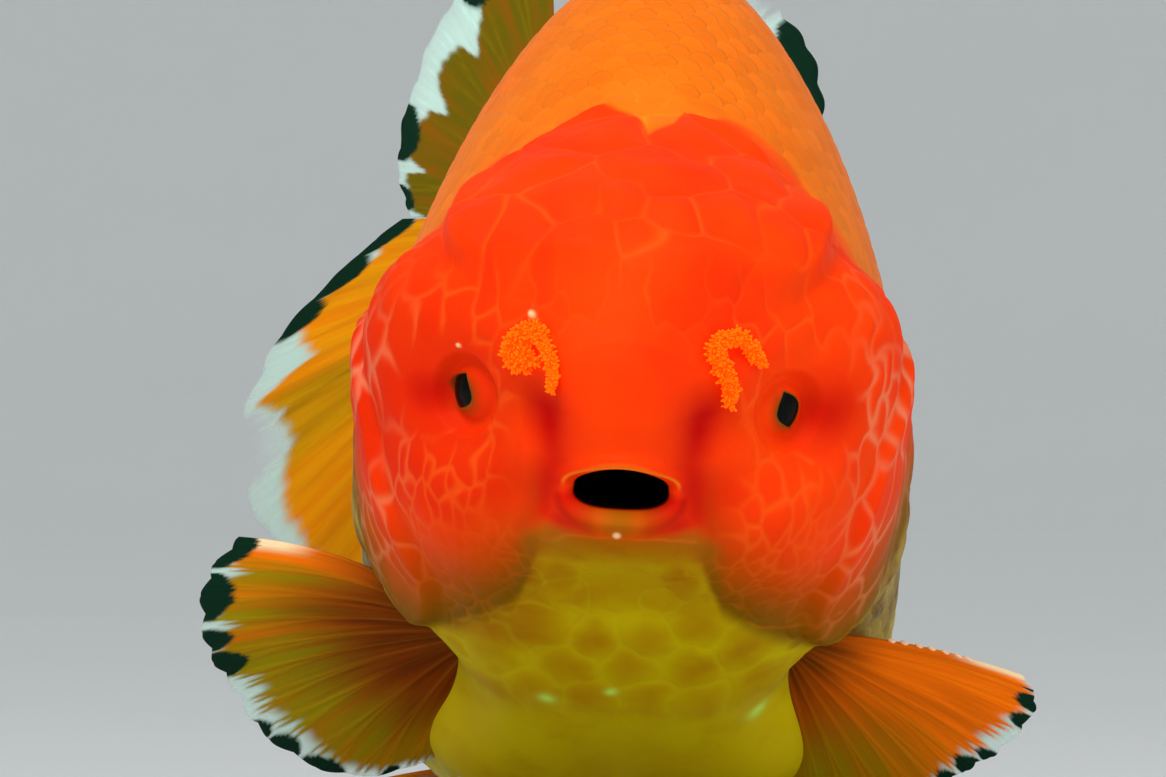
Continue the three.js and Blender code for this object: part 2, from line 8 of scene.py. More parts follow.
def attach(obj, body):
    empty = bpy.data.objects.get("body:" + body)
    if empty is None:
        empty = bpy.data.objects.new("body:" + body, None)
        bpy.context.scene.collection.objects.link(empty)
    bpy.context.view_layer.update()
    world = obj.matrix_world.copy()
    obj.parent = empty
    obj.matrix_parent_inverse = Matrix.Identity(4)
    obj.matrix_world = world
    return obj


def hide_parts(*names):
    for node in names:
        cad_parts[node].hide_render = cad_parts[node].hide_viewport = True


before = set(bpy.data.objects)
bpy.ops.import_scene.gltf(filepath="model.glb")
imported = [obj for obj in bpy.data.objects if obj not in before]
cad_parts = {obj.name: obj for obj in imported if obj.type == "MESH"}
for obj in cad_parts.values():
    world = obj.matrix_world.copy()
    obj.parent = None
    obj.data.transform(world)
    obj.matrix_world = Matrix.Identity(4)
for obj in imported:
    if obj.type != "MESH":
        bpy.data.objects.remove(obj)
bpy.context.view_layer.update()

# The view
# The fish is seen head on and level, from 1.2 m in front of its mouth, by a lens so long that the
# head and back fill the frame.
MM = 0.001
VIEW_PLACE = (-3.625, -1264.0, 79.165)
VIEW_DISTANCE = 1200.0
VIEW_WIDTH = 128.26
SENSOR = 36.0

view_camera = bpy.data.cameras.new("view")
view_camera.sensor_width = SENSOR
view_camera.lens = SENSOR * VIEW_DISTANCE / VIEW_WIDTH
view_camera.clip_end = 100.0
view_holder = bpy.data.objects.new("view", view_camera)
view_holder.location = Vector(VIEW_PLACE) * MM
view_holder.rotation_euler = (np.radians(90), 0, 0)
bpy.context.scene.collection.objects.link(view_holder)
bpy.context.scene.camera = view_holder

# The skin
# One seamless skin of scaled flesh and wen, the lobed growth of the head. It is lofted through
# the body's stations, swollen where the head grows out, and lies just inside the solids.
NOSE_DOWN, YAW, ROLL = 17.0, 1.8, 2.5
MOUTH = np.array([0.5, -64.0, 68.0])
STATIONS = {
    "throat": ((13, 0), (13, 0, 0), (13, 0)),
    "mouth": ((7.5, 2.7), (7.5, 4.6, 0), (7, -2.9)),
    "inner lip": ((1.6, 2.6), (2.6, 5.2, -0.2), (1.4, -2.6)),
    "lip": ((-0.9, 3.2), (1.5, 6.5, 0), (-0.5, -3.7)),
    "lip root": ((-0.1, 4.6), (2.6, 8.1, 0.1), (0.2, -5.7)),
    "muzzle": ((0.2, 8.6), (5.2, 12.0, 0.4), (3.0, -8.9)),
    "nostrils": ((1.2, 14.4), (9.6, 17.8, 0.8), (9.2, -13.6)),
    "brow": ((4.4, 20.6), (14.6, 23.4, 1.2), (16, -20.2)),
    "eyes": ((10.6, 25.8), (20.6, 27.4, 1.0), (23.5, -28.6)),
    "cheeks": ((19.4, 28.8), (28, 29.2, -0.6), (31, -37.2)),
    "gill covers": ((30.4, 30.2), (37, 29.2, -4.6), (39, -45.4)),
    "shoulder": ((44, 32.4), (47, 31.0, -11.0), (49, -53.2)),
    "chest": ((59, 36.8), (60, 31.2, -15.0), (61, -59.0)),
    "mid body": ((77, 39.4), (77, 28.4, -14.0), (76, -55.4)),
    "vent": ((95, 35.6), (94, 21.6, -8.0), (92, -42.4)),
    "rump": ((111, 26.0), (109, 14.6, -3.6), (106, -28.0)),
    "stalk": ((124, 14.6), (121, 10.0, -3.4), (117, -19.0)),
    "tail root": ((133.5, 5.6), (130.5, 6.8, -5.6), (126.5, -16.4)),
    "stalk end": ((138, 0.4), (135, 5.2, -7.0), (131, -15.6)),
    "stalk tip": ((140, -4.4), (138.6, 2.4, -8.4), (136, -12.6)),
}
# How far each part's outline swells past an ellipse, above and below
FULLNESS = {
    "lips": np.array([-0.1, 0.16]), "head": np.array([0.02, 0.03]), "body": np.array([-0.03, 0.15]),
}
BEND_FROM, BEND_TO, BEND_RADIUS = 80.0, 136.0, 112.0
SWELLINGS = {
    "snout": ((0, 0.4, 9.5), 5.6, 1.5),
    "cheek": ((19.5, 10, -7), 7.5, 3.4),
    "mouth corner fold": ((10.6, 5.5, -3.5), 3.0, -2.4),
    "snout fold": ((9.6, 4, 7.0), 2.6, -1.6),
    "eye rim": ((19.5, 11.4, 6.8), 5.2, 0.5),
    "eye hollow": ((18.4, 10.6, 6.8), 4.4, -2.1),
    "temple": ((26, 22, 13.5), 7.5, 3.6),
    "throat": ((0, 14, -16), 6.5, -2),
    "fin hollow": ((25, 40, -35), 7, -7),
}
CROWN = {"at": (0, 21, 25), "half": (21.5, 20.5, 20), "height": 3.0, "edge": 0.14, "foot": 0.5}
GILL_COVER = {"at": (27, 32, -9), "half": (16, 14.5, 20), "height": 1.5, "edge": 0.12}
BARE_SNOUT = {"at": (0, 0, 1), "half": (15, 12, 17)}
BARE_EYE = {"at": (20, 11.8, 6.8), "half": (6, 6, 6)}
CROWN_LOBES = [
    (-7.1, 4.2, 24.4, 6.2), (7.2, 3.8, 23.7, 7.2), (1.1, 6.5, 27.2, 4.2), (3, 19.2, 32.3, 5.6),
    (-4.4, 29.4, 33.3, 5.4), (5.4, 30, 33.3, 5.4), (-7.5, 14.2, 30.3, 5), (-1.4, 12.4, 30.2, 4.2),
    (4.6, 11.5, 29.4, 4.2), (11.2, 12.6, 28.5, 5), (17.4, 14.2, 25.6, 4.4), (13.5, 26.7, 30.2, 5.6),
    (-13.7, 11, 26.2, 5), (-18.4, 15.5, 24, 4.4), (-12.1, 24, 30.7, 5.6),
]
SMALL_LOBE = {"size": 5.8, "tries": 2400, "apart": 0.82, "seed": 7}
RELIEF = {"crown": 1.05, "wen": 0.45, "dome": 0.75, "groove": 0.35, "width": 1.1}
# The chest's broad soft lobes under the chin, drawn one by one: x, y, z and size
THROAT_LOBES = [
    (0, 12, -14.5, 4.2), (-8.9, 19.3, -22.5, 3.8), (-2.3, 20.4, -24.2, 3.2), (3.2, 20.2, -23.9, 3.2),
    (9.1, 18.2, -21.1, 3.8), (15, 22.4, -24.2, 4.2), (-15, 25, -27.5, 4.0), (-6.2, 23.8, -28.5, 3.4),
    (1.4, 23.1, -27.8, 3.2), (8.6, 24.3, -28.2, 3.6), (16, 29.6, -31.0, 4.2), (-9.6, 28.8, -33.6, 3.6),
    (-3.2, 28.3, -34.1, 3.4), (3.2, 27.8, -33.6, 3.2), (9.6, 29.2, -34.3, 3.6), (-14, 32, -35.5, 3.6),
]
# The wen's small cells are tall on the temples and gill covers, and fine and lacy on the cheeks
CELL = {"size": 2.1, "spread": 0.35, "tries": 60000, "kept": 12000, "apart": 0.84, "seed": 11}
CELL_DOME, CELL_CREASE = 0.12, 0.1
CELL_TALL = 1.9
CHEEK = {"at": (17.5, 10.5, -8.5), "half": (11, 12, 11)}
CHEEK_CELL = 0.46
# The red hood's lower edge on the jowls: heights z at distances x from the middle
JOWL_EDGE = [
    (0, -7.2), (7, -7.6), (8.8, -9.4), (10.2, -14.5), (11.5, -18.6), (14.5, -21.4), (18.5, -24.4),
    (22, -26.5), (25, -26.5), (29.5, -17), (33, -8),
]
EYE = {"at": (14.6, 13.0, 7.0), "radius": 4.7, "axis": (0.68, -0.73, 0.03)}
# Further than this from its axis, the lids run off the eyeball straight on, as a cone
BALL_EDGE = 3
# The opening between the lids is a pointed oval, leaning out at its foot
LIDS = {"tall": 2.15, "lean": 14, "sink": 0.7, "thick": 0.1, "hug": 2.9, "blend": 4.9}
# The right and left openings' half widths, and how far they sit behind the middle of the eye
LIDS_WIDE, LIDS_BACK = (2.05, 1.65), (1.3, 0.35)
# Thin pale creases drawn one by one: width, strength and the places they run through
CREASES = [
    (0.28, 0.7, (13.6, 5.3, 7.5), (14.3, 5.6, 5.6), (16.8, 8.3, 4.1), (18.9, 8.7, 2.3), (20.9, 9.4, 1.3)),
    (0.25, 0.7, (9.8, 11.3, -16.6), (14.2, 18.3, -20.7), (19.1, 22.3, -22.1), (24.7, 24.4, -20.8)),
    (
        0.25, 0.45,
        (-8.8, 4.9, -7.6), (-4.4, 1.6, -6.3), (0.2, -0.1, -5.9), (4.6, 1.7, -6.2), (8.7, 4.5, -6.9),
    ),
    (0.22, 0.3, (3.5, 5.9, -10.4), (4.0, 10.6, -14.4), (5.0, 16.4, -18.6)),
    (
        0.28, 0.7,
        (-22.8, 10.8, 1.5), (-19.6, 9.2, 2.4), (-18, 9.3, 4), (-15.6, 6.9, 5.1), (-13.1, 5.2, 8.2),
    ),
    (0.25, 0.7, (-18.5, 23.8, -24.1), (-11.5, 16.6, -19.3), (-7.5, 16.9, -19.5)),
    (0.22, 0.3, (-4.0, 7.1, -11.2), (-4.5, 11.2, -15.2), (-5.4, 16.8, -19.2)),
]
# The points that a crease is drawn with, and no crease goes further than this from its middle
CREASE_STEPS, CREASE_REACH = 60, 14
# Small pale bumps by an eye and a nostril and on the chin: x, z, size and height
PALE_SPOTS = [(-18.9, 12.5, 0.26, 0.15), (-10.7, 17.8, 0.42, 0.5), (-0.2, -5.4, 0.45, 0.1)]
# Bright yellow-green spots between the chest's lobes: x, y, z and size
BRIGHT_SPOTS = [(-8.1, 29.2, -34.4, 1.0), (-0.8, 26.9, -32.5, 0.7), (15.5, 36.0, -36.5, 1.4)]
# The red ends on the crown in lobes: places (x, y) along its rear edge, with a notch by the middle
CROWN_EDGE = [
    (-19, 46.6), (-17.9, 46.8), (-16, 45.1), (-14.4, 40.8), (-13.2, 40.5), (-11.4, 41.3), (-9.7, 42.9),
    (-7.6, 42.6), (-5.2, 38.5), (-3.3, 36.7), (-1.3, 35), (-0.1, 32.8), (0.5, 29.2), (1.2, 30.8),
    (2.9, 32.7), (4.6, 42.4), (7, 43), (8.7, 45.2), (11.1, 46.7), (13.9, 47.7), (16.1, 47.5),
    (18.1, 45.8),
]
# The face's own skin lies before this many mm behind the lips
FRONT = 16
SKIN_SEGMENTS = 840
SKIN_INSET = 0.3
LIP_INSET = 0.35

station_at = {name: i for i, name in enumerate(STATIONS)}
LAST = len(STATIONS) - 1
backs = np.array([s[0] for s in STATIONS.values()], float)
sides = np.array([s[1][:2] for s in STATIONS.values()], float)
levels = np.array([s[1][2:] for s in STATIONS.values()], float)
bellies = np.array([s[2] for s in STATIONS.values()], float)


def spline(points, share, run_on=False):
    """Places on a smooth curve through points. Its ends are held, or run on past them."""
    points = np.asarray(points, float)
    end = len(points) - 1
    first, final = points[0], points[end]
    if run_on:
        first, final = 2 * points[0] - points[1], 2 * points[end] - points[end - 1]
    points = np.concatenate([[first], points, [final, final]])
    at = np.clip(share, 0, 1) * end
    span = np.minimum(at.astype(int), end)
    part = (at - span)[..., None]
    before, start, stop, after = (points[span + i] for i in range(4))
    leave, arrive = (stop - before) / 2, (after - start) / 2
    cubic = 2 * start - 2 * stop + leave + arrive
    square = -3 * start + 3 * stop - 2 * leave - arrive
    return cubic * part**3 + square * part**2 + leave * part + start


def ease(low, high, value):
    part = np.clip((value - low) / (high - low), 0, 1)
    return part * part * (3 - 2 * part)


def mix(a, b, share):
    return a + (b - a) * share


def bell(value, width=1):
    """1 where a value is 0, fading to 0 over a few widths either way."""
    return np.exp(-((value / width) ** 2))


def unit(vectors):
    return vectors / np.maximum(np.linalg.norm(vectors, axis=-1, keepdims=True), 1e-12)


def plain_skin(station, angle):
    """Places on the body's smooth outline: angle 0 is its left, a quarter turn its back."""
    share = station / LAST
    side = spline(sides, share)
    level = spline(levels, share)[..., 0]
    up = np.sin(angle)
    over = up > 0
    edge = np.where(over[..., None], spline(backs, share), spline(bellies, share))
    on_body = ease(station_at["eyes"], station_at["shoulder"], station)
    half = np.where(over, 0, 1)
    off_lips = ease(station_at["lip"], station_at["muzzle"], station)
    square = mix(FULLNESS["lips"][half], FULLNESS["head"][half], off_lips)
    square = mix(square, FULLNESS["body"][half], on_body)
    fullness = 1 + square * np.sin(2 * angle) ** 2
    return np.stack(
        [
            side[..., 1] * np.cos(angle) * fullness,
            mix(side[..., 0], edge[..., 0], up * up),
            level + np.abs(up) * (edge[..., 1] - level) * fullness,
        ],
        axis=-1,
    )


def skin_ways(station, angle):
    """How far a step of station and of angle carries a place on the skin, as vectors."""
    step = 0.02
    low, high = np.clip(station - step, 0, LAST), np.clip(station + step, 0, LAST)
    rearward = plain_skin(high, angle) - plain_skin(low, angle)
    rearward /= np.maximum(high - low, 1e-9)[..., None]
    round_body = (plain_skin(station, angle + step) - plain_skin(station, angle - step)) / (2 * step)
    return rearward, round_body


def outwards(station, angle):
    return unit(np.cross(*skin_ways(station, angle)))


def mirrored(points):
    """Points with both sides of the fish laid on its left."""
    return np.concatenate([np.abs(points[..., :1]), points[..., 1:]], axis=-1)


def reach(points, shape):
    """How far out points are from the middle of an ellipsoid, 1 on its surface."""
    return np.linalg.norm((mirrored(points) - shape["at"]) / np.array(shape["half"], float), axis=-1)


def inside_share(points, shape):
    """1 inside an ellipsoid and 0 outside it, with a wider edge at its front foot."""
    edge = mix(shape.get("foot", shape["edge"]), shape["edge"], ease(4, 16, points[..., 1]))
    return 1 - ease(1 - edge, 1, reach(points, shape))


def wen_share(points):
    off_snout = ease(0.9, 1.2, reach(points, BARE_SNOUT))
    off_eye = ease(0.8, 1.3, reach(points, BARE_EYE))
    jowl = -12 - 0.8 * np.minimum(np.abs(points[..., 0]), 22)
    above_jowl = ease(-4, 4, points[..., 2] - jowl)
    return off_snout * off_eye * above_jowl * (1 - ease(42, 48, points[..., 1]))


def random_from(seed, count):
    """The source's repeatable random numbers, so that its lobes fall in the same places."""
    whole = 0xFFFFFFFF
    drawn = np.empty(count)
    state = seed
    for i in range(count):
        state = (state + 0x6D2B79F5) & whole
        t = ((state ^ (state >> 15)) * (1 | state)) & whole
        t = ((t + (((t ^ (t >> 7)) * (61 | t)) & whole)) & whole) ^ t
        drawn[i] = ((t ^ (t >> 14)) & whole) / 4294967296
    return drawn


def thrown(centres, sizes, found, found_sizes, apart):
    """Adds to found the centres that lie clear of all found before them."""
    places = np.empty((len(found) + len(centres), 3))
    radii = np.empty(len(places))
    count = len(found)
    places[:count], radii[:count] = found, found_sizes
    for centre, size in zip(centres, sizes):
        away = np.linalg.norm(places[:count] - centre, axis=1)
        if np.all(away > apart * (radii[:count] + size)):
            places[count], radii[count] = centre, size
            count += 1
    return places[:count], radii[:count]


def nearest_two(points, centres, sizes):
    """Each point's distances to the nearest lobe and the next, in lobe sizes, and the nearest."""
    near, following, which = np.empty(len(points)), np.empty(len(points)), np.empty(len(points), int)
    for part in np.array_split(np.arange(len(points)), 1 + len(points) // 4096):
        block = points[part]
        square = (block**2).sum(1)[:, None] + (centres**2).sum(1) - 2 * block @ centres.T
        away = np.sqrt(np.maximum(square, 0)) / sizes
        two = np.argpartition(away, 1, axis=1)[:, :2]
        both = np.take_along_axis(away, two, axis=1)
        swap = both[:, 0] > both[:, 1]
        near[part] = both.min(axis=1)
        following[part] = both.max(axis=1)
        which[part] = np.where(swap, two[:, 1], two[:, 0])
    return near, following, which


def wavy(points, length, seed, count=7):
    """Smooth random values from -1 to 1 or so, in waves of about a length in mm."""
    turns = np.random.default_rng(seed)
    waves = unit(turns.normal(size=(count, 3))) * turns.uniform(0.6, 1.6, (count, 1)) * 2 * np.pi / length
    total = np.sin(points @ waves.T + turns.uniform(0, 2 * np.pi, count)).sum(-1)
    return total / np.sqrt(count)


def wavered(points, length, far, seed):
    """Points pushed about smoothly, so that what is drawn by them has no straight lines."""
    return points + far * np.stack([wavy(points, length, seed + i) for i in range(3)], axis=-1)


draws = random_from(SMALL_LOBE["seed"], 3 * SMALL_LOBE["tries"]).reshape(-1, 3)
lobe_stations = mix(station_at["muzzle"], station_at["shoulder"] + 0.4, draws[:, 0])
lobe_centres = plain_skin(lobe_stations, draws[:, 1] * 2 * np.pi)
lobe_sizes = SMALL_LOBE["size"] * mix(0.85, 1.15, draws[:, 2])
wanted = wen_share(lobe_centres) >= 0.3
crown_lobes = np.array(CROWN_LOBES, float)
lobes, lobe_sizes = thrown(
    lobe_centres[wanted], lobe_sizes[wanted], crown_lobes[:, :3], crown_lobes[:, 3], SMALL_LOBE["apart"]
)

rng = np.random.default_rng(CELL["seed"])
cell_stations = rng.uniform(station_at["muzzle"], station_at["shoulder"] + 0.4, CELL["tries"])
cell_centres = plain_skin(cell_stations, rng.uniform(0, 2 * np.pi, CELL["tries"]))
cell_sizes = CELL["size"] * (1 + CELL["spread"] * rng.uniform(-1, 1, CELL["tries"]))
cell_sizes *= mix(1, CHEEK_CELL, 1 - ease(0.5, 1.25, reach(cell_centres, CHEEK)))
cell_sizes *= mix(1, 0.74, ease(19, 25, np.abs(cell_centres[:, 0])) * ease(-6, 4, cell_centres[:, 2]))
cell_flat = np.array([1, 1, 1 / CELL_TALL])
wanted = (wen_share(cell_centres) > 0.05) & (inside_share(cell_centres, CROWN) < 0.5)
throat_lobes = np.array(THROAT_LOBES, float)
cells, cell_sizes = thrown(
    (cell_centres * cell_flat)[wanted][: CELL["kept"]],
    cell_sizes[wanted][: CELL["kept"]],
    throat_lobes[:, :3] * cell_flat,
    throat_lobes[:, 3],
    CELL["apart"],
)

eye_axis = unit(np.array(EYE["axis"]))


def eye_ring(points):
    """Points as seen along the eye's axis: how far forward and up, and how far out of its middle."""
    away = mirrored(points) - np.array(EYE["at"])
    forward = unit(np.cross(eye_axis, (0, 0, 1)))
    return away @ forward, away @ np.cross(forward, eye_axis), away @ eye_axis


def over_lids(forward, upward, points):
    """Places by the eye as they lie across and along the leaning opening."""
    lean = np.radians(LIDS["lean"])
    on_right = points[..., 0] < 0
    forward = forward + np.where(on_right, *LIDS_BACK)
    across = forward * np.cos(lean) - upward * np.sin(lean)
    return across / np.where(on_right, *LIDS_WIDE), upward * np.cos(lean) + forward * np.sin(lean)


def lens(across, along):
    """1 on the outline of the opening between the lids, which is pointed above and below."""
    return np.abs(across) + (np.abs(along) / LIDS["tall"]) ** 1.8


def cell_seams(points):
    """The wen's small cells at points: how domed, how near a seam in mm, and the cell's number."""
    points = wavered(points, 5, 0.45, 31) * cell_flat
    near, following, which = nearest_two(points, cells, cell_sizes)
    seam = 0.5 * (following - near) * cell_sizes[which]
    return 1 - np.minimum(near, 1) ** 2, seam, which


def lobe_seams(points):
    """The wen's larger lobes at points: how high they stand, and how near a seam in mm."""
    near, following, which = nearest_two(wavered(points, 9, 0.6, 41), lobes, lobe_sizes)
    groove = 1 - ease(0, RELIEF["width"], following - near)
    height = RELIEF["dome"] * (1 - np.minimum(near, 1) ** 2) - RELIEF["groove"] * groove
    # Each lobe laps over the one behind it
    behind = ((points - lobes[which]) @ (0, 0.6, 0.8)) / lobe_sizes[which]
    height += 0.16 * np.clip(behind, -1, 1)
    return height, 0.5 * (following - near) * lobe_sizes[which]


def swollen(points):
    """How far all that grows on the head stands out of the plain skin, without the fine cells."""
    height = np.zeros(points.shape[:-1])
    for at, width, tall in SWELLINGS.values():
        apart = np.linalg.norm(mirrored(points) - np.array(at), axis=-1)
        height += tall * np.exp(-(apart**2) / (2 * width**2))
    height += inside_share(points, CROWN) * CROWN["height"]
    return height + inside_share(points, GILL_COVER) * GILL_COVER["height"]


def bent(points):
    """Points of the hind body carried round its bend."""
    curved = np.clip(points[..., 1] - BEND_FROM, 0, BEND_TO - BEND_FROM)
    straight = np.maximum(points[..., 1] - BEND_TO, 0)
    turn = curved / BEND_RADIUS
    arm = BEND_RADIUS + points[..., 0]
    behind = points[..., 1] > BEND_FROM
    x = np.where(behind, arm * np.cos(turn) - BEND_RADIUS - straight * np.sin(turn), points[..., 0])
    y = np.where(behind, BEND_FROM + arm * np.sin(turn) + straight * np.cos(turn), points[..., 1])
    return np.stack([x, y, points[..., 2]], axis=-1)


fish_turn = np.array(
    Matrix.Rotation(np.radians(ROLL), 3, "Y")
    @ Matrix.Rotation(np.radians(NOSE_DOWN), 3, "X")
    @ Matrix.Rotation(-np.radians(YAW), 3, "Z")
)


def in_frame(points):
    """The fish's own millimetres, set in the part's frame in metres."""
    return (points @ fish_turn.T + MOUTH) * MM


def walked(stations):
    """Mean distances in mm from each station to the next, along the side, back and belly."""
    routes = [plain_skin(stations, np.full(len(stations), turn)) for turn in (0, np.pi / 2, -np.pi / 2)]
    return np.mean([np.linalg.norm(np.diff(r, axis=0), axis=1) for r in routes], axis=0)


def ring_stations():
    """Stations of the skin's rings, close together on the head and wider apart on the body."""
    fine = np.linspace(0, LAST, 4000)
    at, apart = [0, 1.7, 2.2, 4.5, 10.6, 12, 17, LAST], [0.9, 0.5, 0.2, 0.22, 0.26, 1.2, 1.2, 0.8]
    spacing = np.interp(fine, at, apart)
    along = np.concatenate([[0], np.cumsum(walked(fine) / spacing[1:])])
    return np.interp(np.linspace(0, along[-1], int(along[-1])), along, fine)


rings = ring_stations()
angles = np.arange(SKIN_SEGMENTS) * 2 * np.pi / SKIN_SEGMENTS
ring_grid, angle_grid = np.meshgrid(rings[1:], angles, indexing="ij")
skin_plain = plain_skin(ring_grid, angle_grid).reshape(-1, 3)
skin_normal = outwards(ring_grid, angle_grid).reshape(-1, 3)
skin_station = ring_grid.ravel()
skin_x, skin_y, skin_z = skin_plain.T
skin_side = np.abs(skin_x)


def masks(points, station):
    """Where the fish's markings lie, as shares from 0 to 1. Skin and scales are painted by them."""
    x, y, z = mirrored(points).T
    jowl = np.interp(x, *np.transpose(JOWL_EDGE))
    # The open mouth is painted near black, as the shadow inside it
    mouth = 1 - ease(1.98, 2.16, station)
    crown = inside_share(points, CROWN)
    before = 1 - ease(43, 50, y)
    over_jowl = ease(-2, 1.6, z - jowl) * before
    return {
        "mouth": mouth,
        "crown": crown,
        "hood": np.maximum(crown, over_jowl),
        # Below the hood's edge the jowls turn brown, partly their own brown and partly painted shade
        "jowl": (1 - ease(-1, 20, z - jowl)) * before * (1 - (1 - ease(9, 12, x)) * ease(-8, -6, z)),
        "belly": np.maximum(1 - ease(-36, -20, z - 0.12 * (y - 40) + 0.25 * x), 1 - ease(28, 40, y)),
        "back": ease(-12, 4, z - 0.1 * (y - 40)),
        "lip": bell(station - 2.95, 0.14) * ease(-0.6, 0.8, z),
        "chin": np.maximum(
            (1 - ease(3.4, 5.2, station)) * (1 - ease(-3, -1.4, z)) * bell(x, 3.6),
            0.9 * (1 - ease(-6.8, -4.6, z)) * (1 - ease(8, 11, x)) * (1 - ease(16, 24, y)),
        )
        * (1 - mouth),
    }


skin_masks = masks(skin_plain, skin_station)
face_share = wen_share(skin_plain)
crown_share = skin_masks.pop("crown")
growth_share = np.maximum(face_share, crown_share)
skin_height = swollen(skin_plain) - SKIN_INSET * ease(10, 11.5, skin_station)
skin_height -= LIP_INSET * ease(1.5, 2.5, skin_station) * (1 - ease(4, 6, skin_station))
on_wen = growth_share > 0
lobe_height, lobe_seam = np.zeros(len(skin_plain)), np.zeros(len(skin_plain))
lobe_height[on_wen], lobe_seam[on_wen] = lobe_seams(skin_plain[on_wen])
relief = mix(0.55 * RELIEF["wen"], RELIEF["crown"], crown_share)
skin_height += growth_share * relief * lobe_height
throat_share = (1 - ease(24, 36, skin_y)) * (1 - ease(-14, -9, skin_z + 2))
throat_share *= (skin_station > 5) * (skin_side < 21)
cell_share = np.maximum(face_share * (1 - crown_share), throat_share)
on_cells = cell_share > 0.01
cell_dome, cell_seam, cell_which = (np.zeros(len(skin_plain)) for _ in range(3))
cell_dome[on_cells], cell_seam[on_cells], cell_which[on_cells] = cell_seams(skin_plain[on_cells])
lace = 1 - ease(0.6, 1.3, reach(skin_plain, CHEEK))
cell_crease = bell(cell_seam, 0.3)
cell_relief = CELL_DOME * cell_dome - CELL_CREASE * cell_crease
skin_height += cell_share * mix(1, 0.5, lace) * cell_relief
crown_crease = bell(lobe_seam, 0.4) * on_wen
skin_height -= 0.1 * crown_share * crown_crease

# What the materials read: where the skin is browner between the chest's lobes, where painted shade
# darkens the throat, and where pale lines run along the seams
# On the head's far sides, seen edge-on, the net is painted wider, stronger and pinker, a painted sheen
outer = ease(20, 28, skin_side)
pocket = np.hypot((skin_side - 6.8) / 2.8, (skin_z + 14) / 5)
behind_edge = skin_y - np.interp(skin_x, *np.transpose(CROWN_EDGE))
skin_masks["hood"] = skin_masks["hood"] * (1 - ease(-0.7, 0.7, behind_edge) * ease(18, 20, skin_z))
skin_masks["belly"] = skin_masks["belly"] * (1 - ease(18, 20, skin_z))
# The throat's brown: its own brown under the jaw, with painted shade in a pocket on each side and down
# its right side
throat_shade = 0.6 + 0.6 * ease(-12, -8, skin_z)
throat_shade = np.maximum(np.exp(-(pocket**4)), throat_shade) * ease(-22, -19, skin_z)
right_side_shade = 1.05 * ease(4, 10, -skin_x) * ease(-29, -24, skin_z)
throat_shade = np.maximum(throat_shade, right_side_shade)
throat_shade *= 1 - ease(24, 34, skin_y)
throat_share *= 1 - 0.8 * ease(-20, -18, skin_z)
fading = np.clip(0.75 + 0.45 * wavy(skin_plain, 11, 51), 0.15, 1)
cell_line = bell(cell_seam, mix(0.19, 0.3, outer)) * mix(0.42, 1, outer) * fading
crown_line = bell(lobe_seam, 0.2) * 0.4 * fading * on_wen
skin_net = np.maximum(crown_share * crown_line, cell_share * cell_line)
rear_rim = bell(reach(skin_plain, CROWN) - 0.965, 0.014) * ease(16, 28, skin_y)
skin_net = np.maximum(skin_net, 0.8 * rear_rim)

# The skin hugs each eyeball with thin lids round the opening, and runs under the ball inside it
skin_points = skin_plain + skin_normal * skin_height[:, None]
forward, upward, outward = eye_ring(skin_points)
across_lids, along_lids = over_lids(forward, upward, skin_points)
oval = lens(across_lids, along_lids)
eye_away = np.hypot(forward, upward)
ball_away = np.minimum(eye_away, BALL_EDGE)
ball_out = np.sqrt(EYE["radius"] ** 2 - ball_away**2)
ball_out -= (eye_away - ball_away) * BALL_EDGE / np.sqrt(EYE["radius"] ** 2 - BALL_EDGE**2)
lid_out = ball_out + mix(-LIDS["sink"], LIDS["thick"], ease(0.93, 1.15, oval))
hold = (1 - ease(LIDS["hug"], LIDS["blend"], eye_away)) * (outward > 0)
mirror = np.where(skin_points[:, :1] < 0, -1, 1)
eye_way = np.concatenate([eye_axis[0] * mirror, np.tile(eye_axis[1:], (len(mirror), 1))], axis=1)
skin_points += eye_way * ((lid_out - outward) * hold)[:, None]
across_lids = across_lids * 1.8
lid_away = np.hypot(across_lids, along_lids)
# A thin olive rim round the opening, and painted shade in the hollow on the nose's side of each eye and
# below it
nasal_shade = ease(-1.4, 1.2, across_lids - 0.3 * along_lids) * (1 - ease(1.6, 3.4, lid_away))
eye_rim_and_shade = np.maximum(1 - ease(1.08, 1.2, oval), 0.9 * nasal_shade) * (outward > 0)
skin_net *= ease(4.5, 7.5, np.hypot(forward + 2, upward - 0.5)) * (outward > 0) + (outward <= 0)
skin_crease = np.zeros(len(skin_plain))
for width, strength, *crease in CREASES:
    drawn = spline(crease, np.linspace(0, 1, CREASE_STEPS))
    from_middle = np.linalg.norm(skin_points - drawn[CREASE_STEPS // 2], axis=1)
    near_line = np.flatnonzero(from_middle < CREASE_REACH)
    for part in np.array_split(near_line, 20):
        spot = wavered(skin_points[part], 4, 0.25, 61)
        gap = np.linalg.norm((spot[:, None] - drawn) * (1, 0.4, 1), axis=2).min(axis=1)
        skin_crease[part] = np.maximum(skin_crease[part], strength * bell(gap, width))
skin_net = np.maximum(skin_net, skin_crease)

# The red is deeper in the folds beside the mouth, below the lip and behind the eyes, and in the
# folds it is partly painted shade
fold_middle = np.interp(skin_z, [-7, -3, 0, 2.5, 5.5, 9], [10.2, 9.2, 8.2, 7.6, 8.6, 9.2])
fold_x = skin_side - fold_middle
fold_width = np.interp(skin_z, [-8, 3, 8], [2.2, 2.2, 3.0])
fold_red_and_shade = np.interp(skin_z, [-10, -6, 0, 3, 6, 8, 13], [0, 0.6, 0.8, 0.75, 1, 1, 0])
fold_red_and_shade *= bell(fold_x, fold_width)
fold_red_and_shade *= 1 - ease(8, 13, skin_y)
under_lip = np.hypot((skin_side - 6.2) / 3.2, (skin_z + 4.6) / 2.2)
fold_red_and_shade = np.maximum(fold_red_and_shade, 0.75 * bell(under_lip))
lower_lip = (1 - ease(3.6, 4.8, skin_station)) * (1 - ease(-1.6, 0, skin_z))
